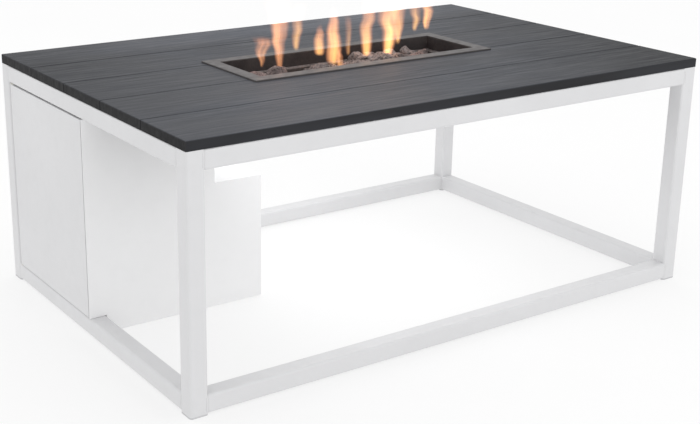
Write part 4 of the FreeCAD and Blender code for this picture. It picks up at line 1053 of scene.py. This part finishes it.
class FIREPIT_OT_flames(bpy.types.Operator):
    """Flames above the stones; they belong to the stage, not to the table"""

    bl_idname = "firepit.flames"
    bl_label = "Flames"

    # Place along the burner, foot above the boards, height, half width, widening and brightness
    TONGUES = (
        (-0.215, 0.000, 0.062, 0.022, 1.0, 0.9),
        (-0.174, -0.028, 0.165, 0.028, 1.0, 1.3),
        (-0.134, 0.024, 0.100, 0.022, 0.6, 0.5),
        (-0.078, 0.008, 0.070, 0.020, 0.1, 0.9),
        (-0.044, -0.016, 0.125, 0.027, 0.1, 1.25),
        (-0.026, -0.022, 0.045, 0.012, 0.1, 0.9),
        (-0.006, 0.000, 0.090, 0.014, 0.5, 0.35),
        (0.040, -0.010, 0.135, 0.026, 0.5, 1.0),
        (0.096, -0.026, 0.165, 0.036, 0.8, 1.2),
        (0.122, 0.010, 0.130, 0.030, 0.9, 0.8),
        (0.166, 0.034, 0.085, 0.024, 0.8, 0.5),
        (0.198, 0.034, 0.085, 0.022, 0.7, 0.9),
    )
    # Radius of the column of gas against a flame's half width, with room for its sway
    COLUMN = 1.6

    def execute(self, context):
        boards_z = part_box("plank_front")[1].z
        wide = self.COLUMN
        column = lathe("flame_column", [(0, 0, 0), (wide, 0, 0), (wide, 1, 0), (0, 1, 0)],
                       (0, 0, 1), 16)
        column.data.materials.append(fire(context.scene.fire_flames))
        for number, tongue_sizes in enumerate(self.TONGUES, start=1):
            x, foot, height, half, widening, bright = tongue_sizes
            tongue = bpy.data.objects.new("flame_%02d" % number, column.data)
            tongue.location = (x, 0, boards_z + foot)
            tongue.scale = (half, half, height)
            tongue.color = (widening, bright / (2 * half), 0, 1)
            context.scene.collection.objects.link(tongue)
        bpy.data.objects.remove(column)
        return {"FINISHED"}


class FIREPIT_OT_studio(bpy.types.Operator):
    """Pale floor, soft lights and the camera"""

    bl_idname = "firepit.studio"
    bl_label = "Studio"

    # Name of the setting that holds a light's power, its width, its place and its aim, in metres
    LIGHTS = (
        ("top_light", 3.0, (0.0, 0.0, 3.0), (0, 0, 0.4)),
        ("front_light", 2.6, (0.3, -3.4, 0.9), (0, 0, 0.25)),
        ("under_light", 0.66, (0.05, 0.02, 0.39), (0.05, 0.02, 0)),
    )
    # The two greys that cloud the floor, which also gives off light
    FLOOR_GREYS = (0.26, 0.275)
    # Millimetres
    SENSOR_WIDTH = 36.0

    def execute(self, context):
        sizes = context.scene.fire_studio
        scene = context.scene
        scene.view_settings.view_transform = "Standard"
        self.lay_floor(scene, sizes)
        world = bpy.data.worlds.new("studio")
        world.use_nodes = True
        sky = world.node_tree.nodes["Background"].inputs
        sky["Color"].default_value = (1, 1, 1, 1)
        sky["Strength"].default_value = sizes.sky_light
        scene.world = world
        for name, width, place, target in self.LIGHTS:
            self.hang_light(scene, name, getattr(sizes, name), width, place, target)
        self.set_camera(scene, sizes)
        return {"FINISHED"}

    def lay_floor(self, scene, sizes):
        half = sizes.floor_width / 2
        mesh = bpy.data.meshes.new("floor")
        mesh.from_pydata([(-half, -half, 0), (half, -half, 0), (half, half, 0), (-half, half, 0)],
                         [], [(0, 1, 2, 3)])
        material, tree, shader = new_finish("floor_white", Emission_Color=(1, 1, 1, 1),
                                            Emission_Strength=sizes.floor_glow)
        shade = patchy(tree, 0.3, 0.7, 2.0)
        dark, light = [opaque((grey, grey, grey)) for grey in self.FLOOR_GREYS]
        feed(shader, Base_Color=mix(shade, dark, light),
             Roughness=remap(shade, 0.0, 1.0, 0.8, 0.9))
        mesh.materials.append(material)
        floor = bpy.data.objects.new("floor", mesh)
        scene.collection.objects.link(floor)

    def hang_light(self, scene, name, power, width, place, target):
        lamp = bpy.data.lights.new(name, "AREA")
        lamp.energy = power
        lamp.size = width
        light = bpy.data.objects.new(name, lamp)
        light.location = place
        aim = Vector(target) - Vector(place)
        light.rotation_euler = aim.to_track_quat("-Z", "Y").to_euler()
        light.visible_camera = False
        scene.collection.objects.link(light)

    def set_camera(self, scene, sizes):
        heading, dip, roll = sizes.camera_heading, sizes.camera_dip, sizes.camera_roll
        ahead = Vector((math.sin(heading) * math.cos(dip), math.cos(heading) * math.cos(dip),
                        -math.sin(dip)))
        level = Vector((math.cos(heading), -math.sin(heading), 0))
        right = math.cos(roll) * level + math.sin(roll) * level.cross(ahead)
        turn = Matrix((right, right.cross(ahead), -ahead)).transposed()
        lens = bpy.data.cameras.new("camera")
        lens.sensor_width = self.SENSOR_WIDTH
        lens.lens = sizes.camera_lens
        lens.shift_x, lens.shift_y = sizes.camera_shift
        camera = bpy.data.objects.new("camera", lens)
        camera.matrix_world = Matrix.Translation(Vector(sizes.camera_place)) @ turn.to_4x4()
        scene.collection.objects.link(camera)
        scene.camera = camera


OPERATORS = (
    FIREPIT_OT_frame_finish,
    FIREPIT_OT_frame_welds,
    FIREPIT_OT_board_finish,
    FIREPIT_OT_burner_finish,
    FIREPIT_OT_stones,
    FIREPIT_OT_fasteners,
    FIREPIT_OT_controls,
    FIREPIT_OT_gas_line,
    FIREPIT_OT_hidden_hardware,
    FIREPIT_OT_flames,
    FIREPIT_OT_studio,
)


class FIREPIT_PT_table(bpy.types.Panel):
    """Lists the settings and steps of the fire pit table"""

    bl_label = "Fire Pit Table"
    bl_space_type = "VIEW_3D"
    bl_region_type = "UI"
    bl_category = "Fire Pit"

    def draw(self, context):
        for step in OPERATORS:
            self.layout.operator(step.bl_idname)
        for owner, group in SETTINGS.items():
            box = self.layout.box()
            box.label(text=group.__doc__)
            for field in group.__annotations__:
                box.prop(getattr(context.scene, owner), field)


def register():
    for group in (*SETTINGS.values(), *OPERATORS, FIREPIT_PT_table):
        bpy.utils.register_class(group)
    for owner, group in SETTINGS.items():
        setattr(bpy.types.Scene, owner, PointerProperty(type=group))


def unregister():
    for owner in SETTINGS:
        delattr(bpy.types.Scene, owner)
    for group in (FIREPIT_PT_table, *reversed(OPERATORS), *SETTINGS.values()):
        bpy.utils.unregister_class(group)


def main():
    register()
    for step in OPERATORS:
        group, name = step.bl_idname.split(".")
        getattr(getattr(bpy.ops, group), name)()


if __name__ == "__main__":
    main()
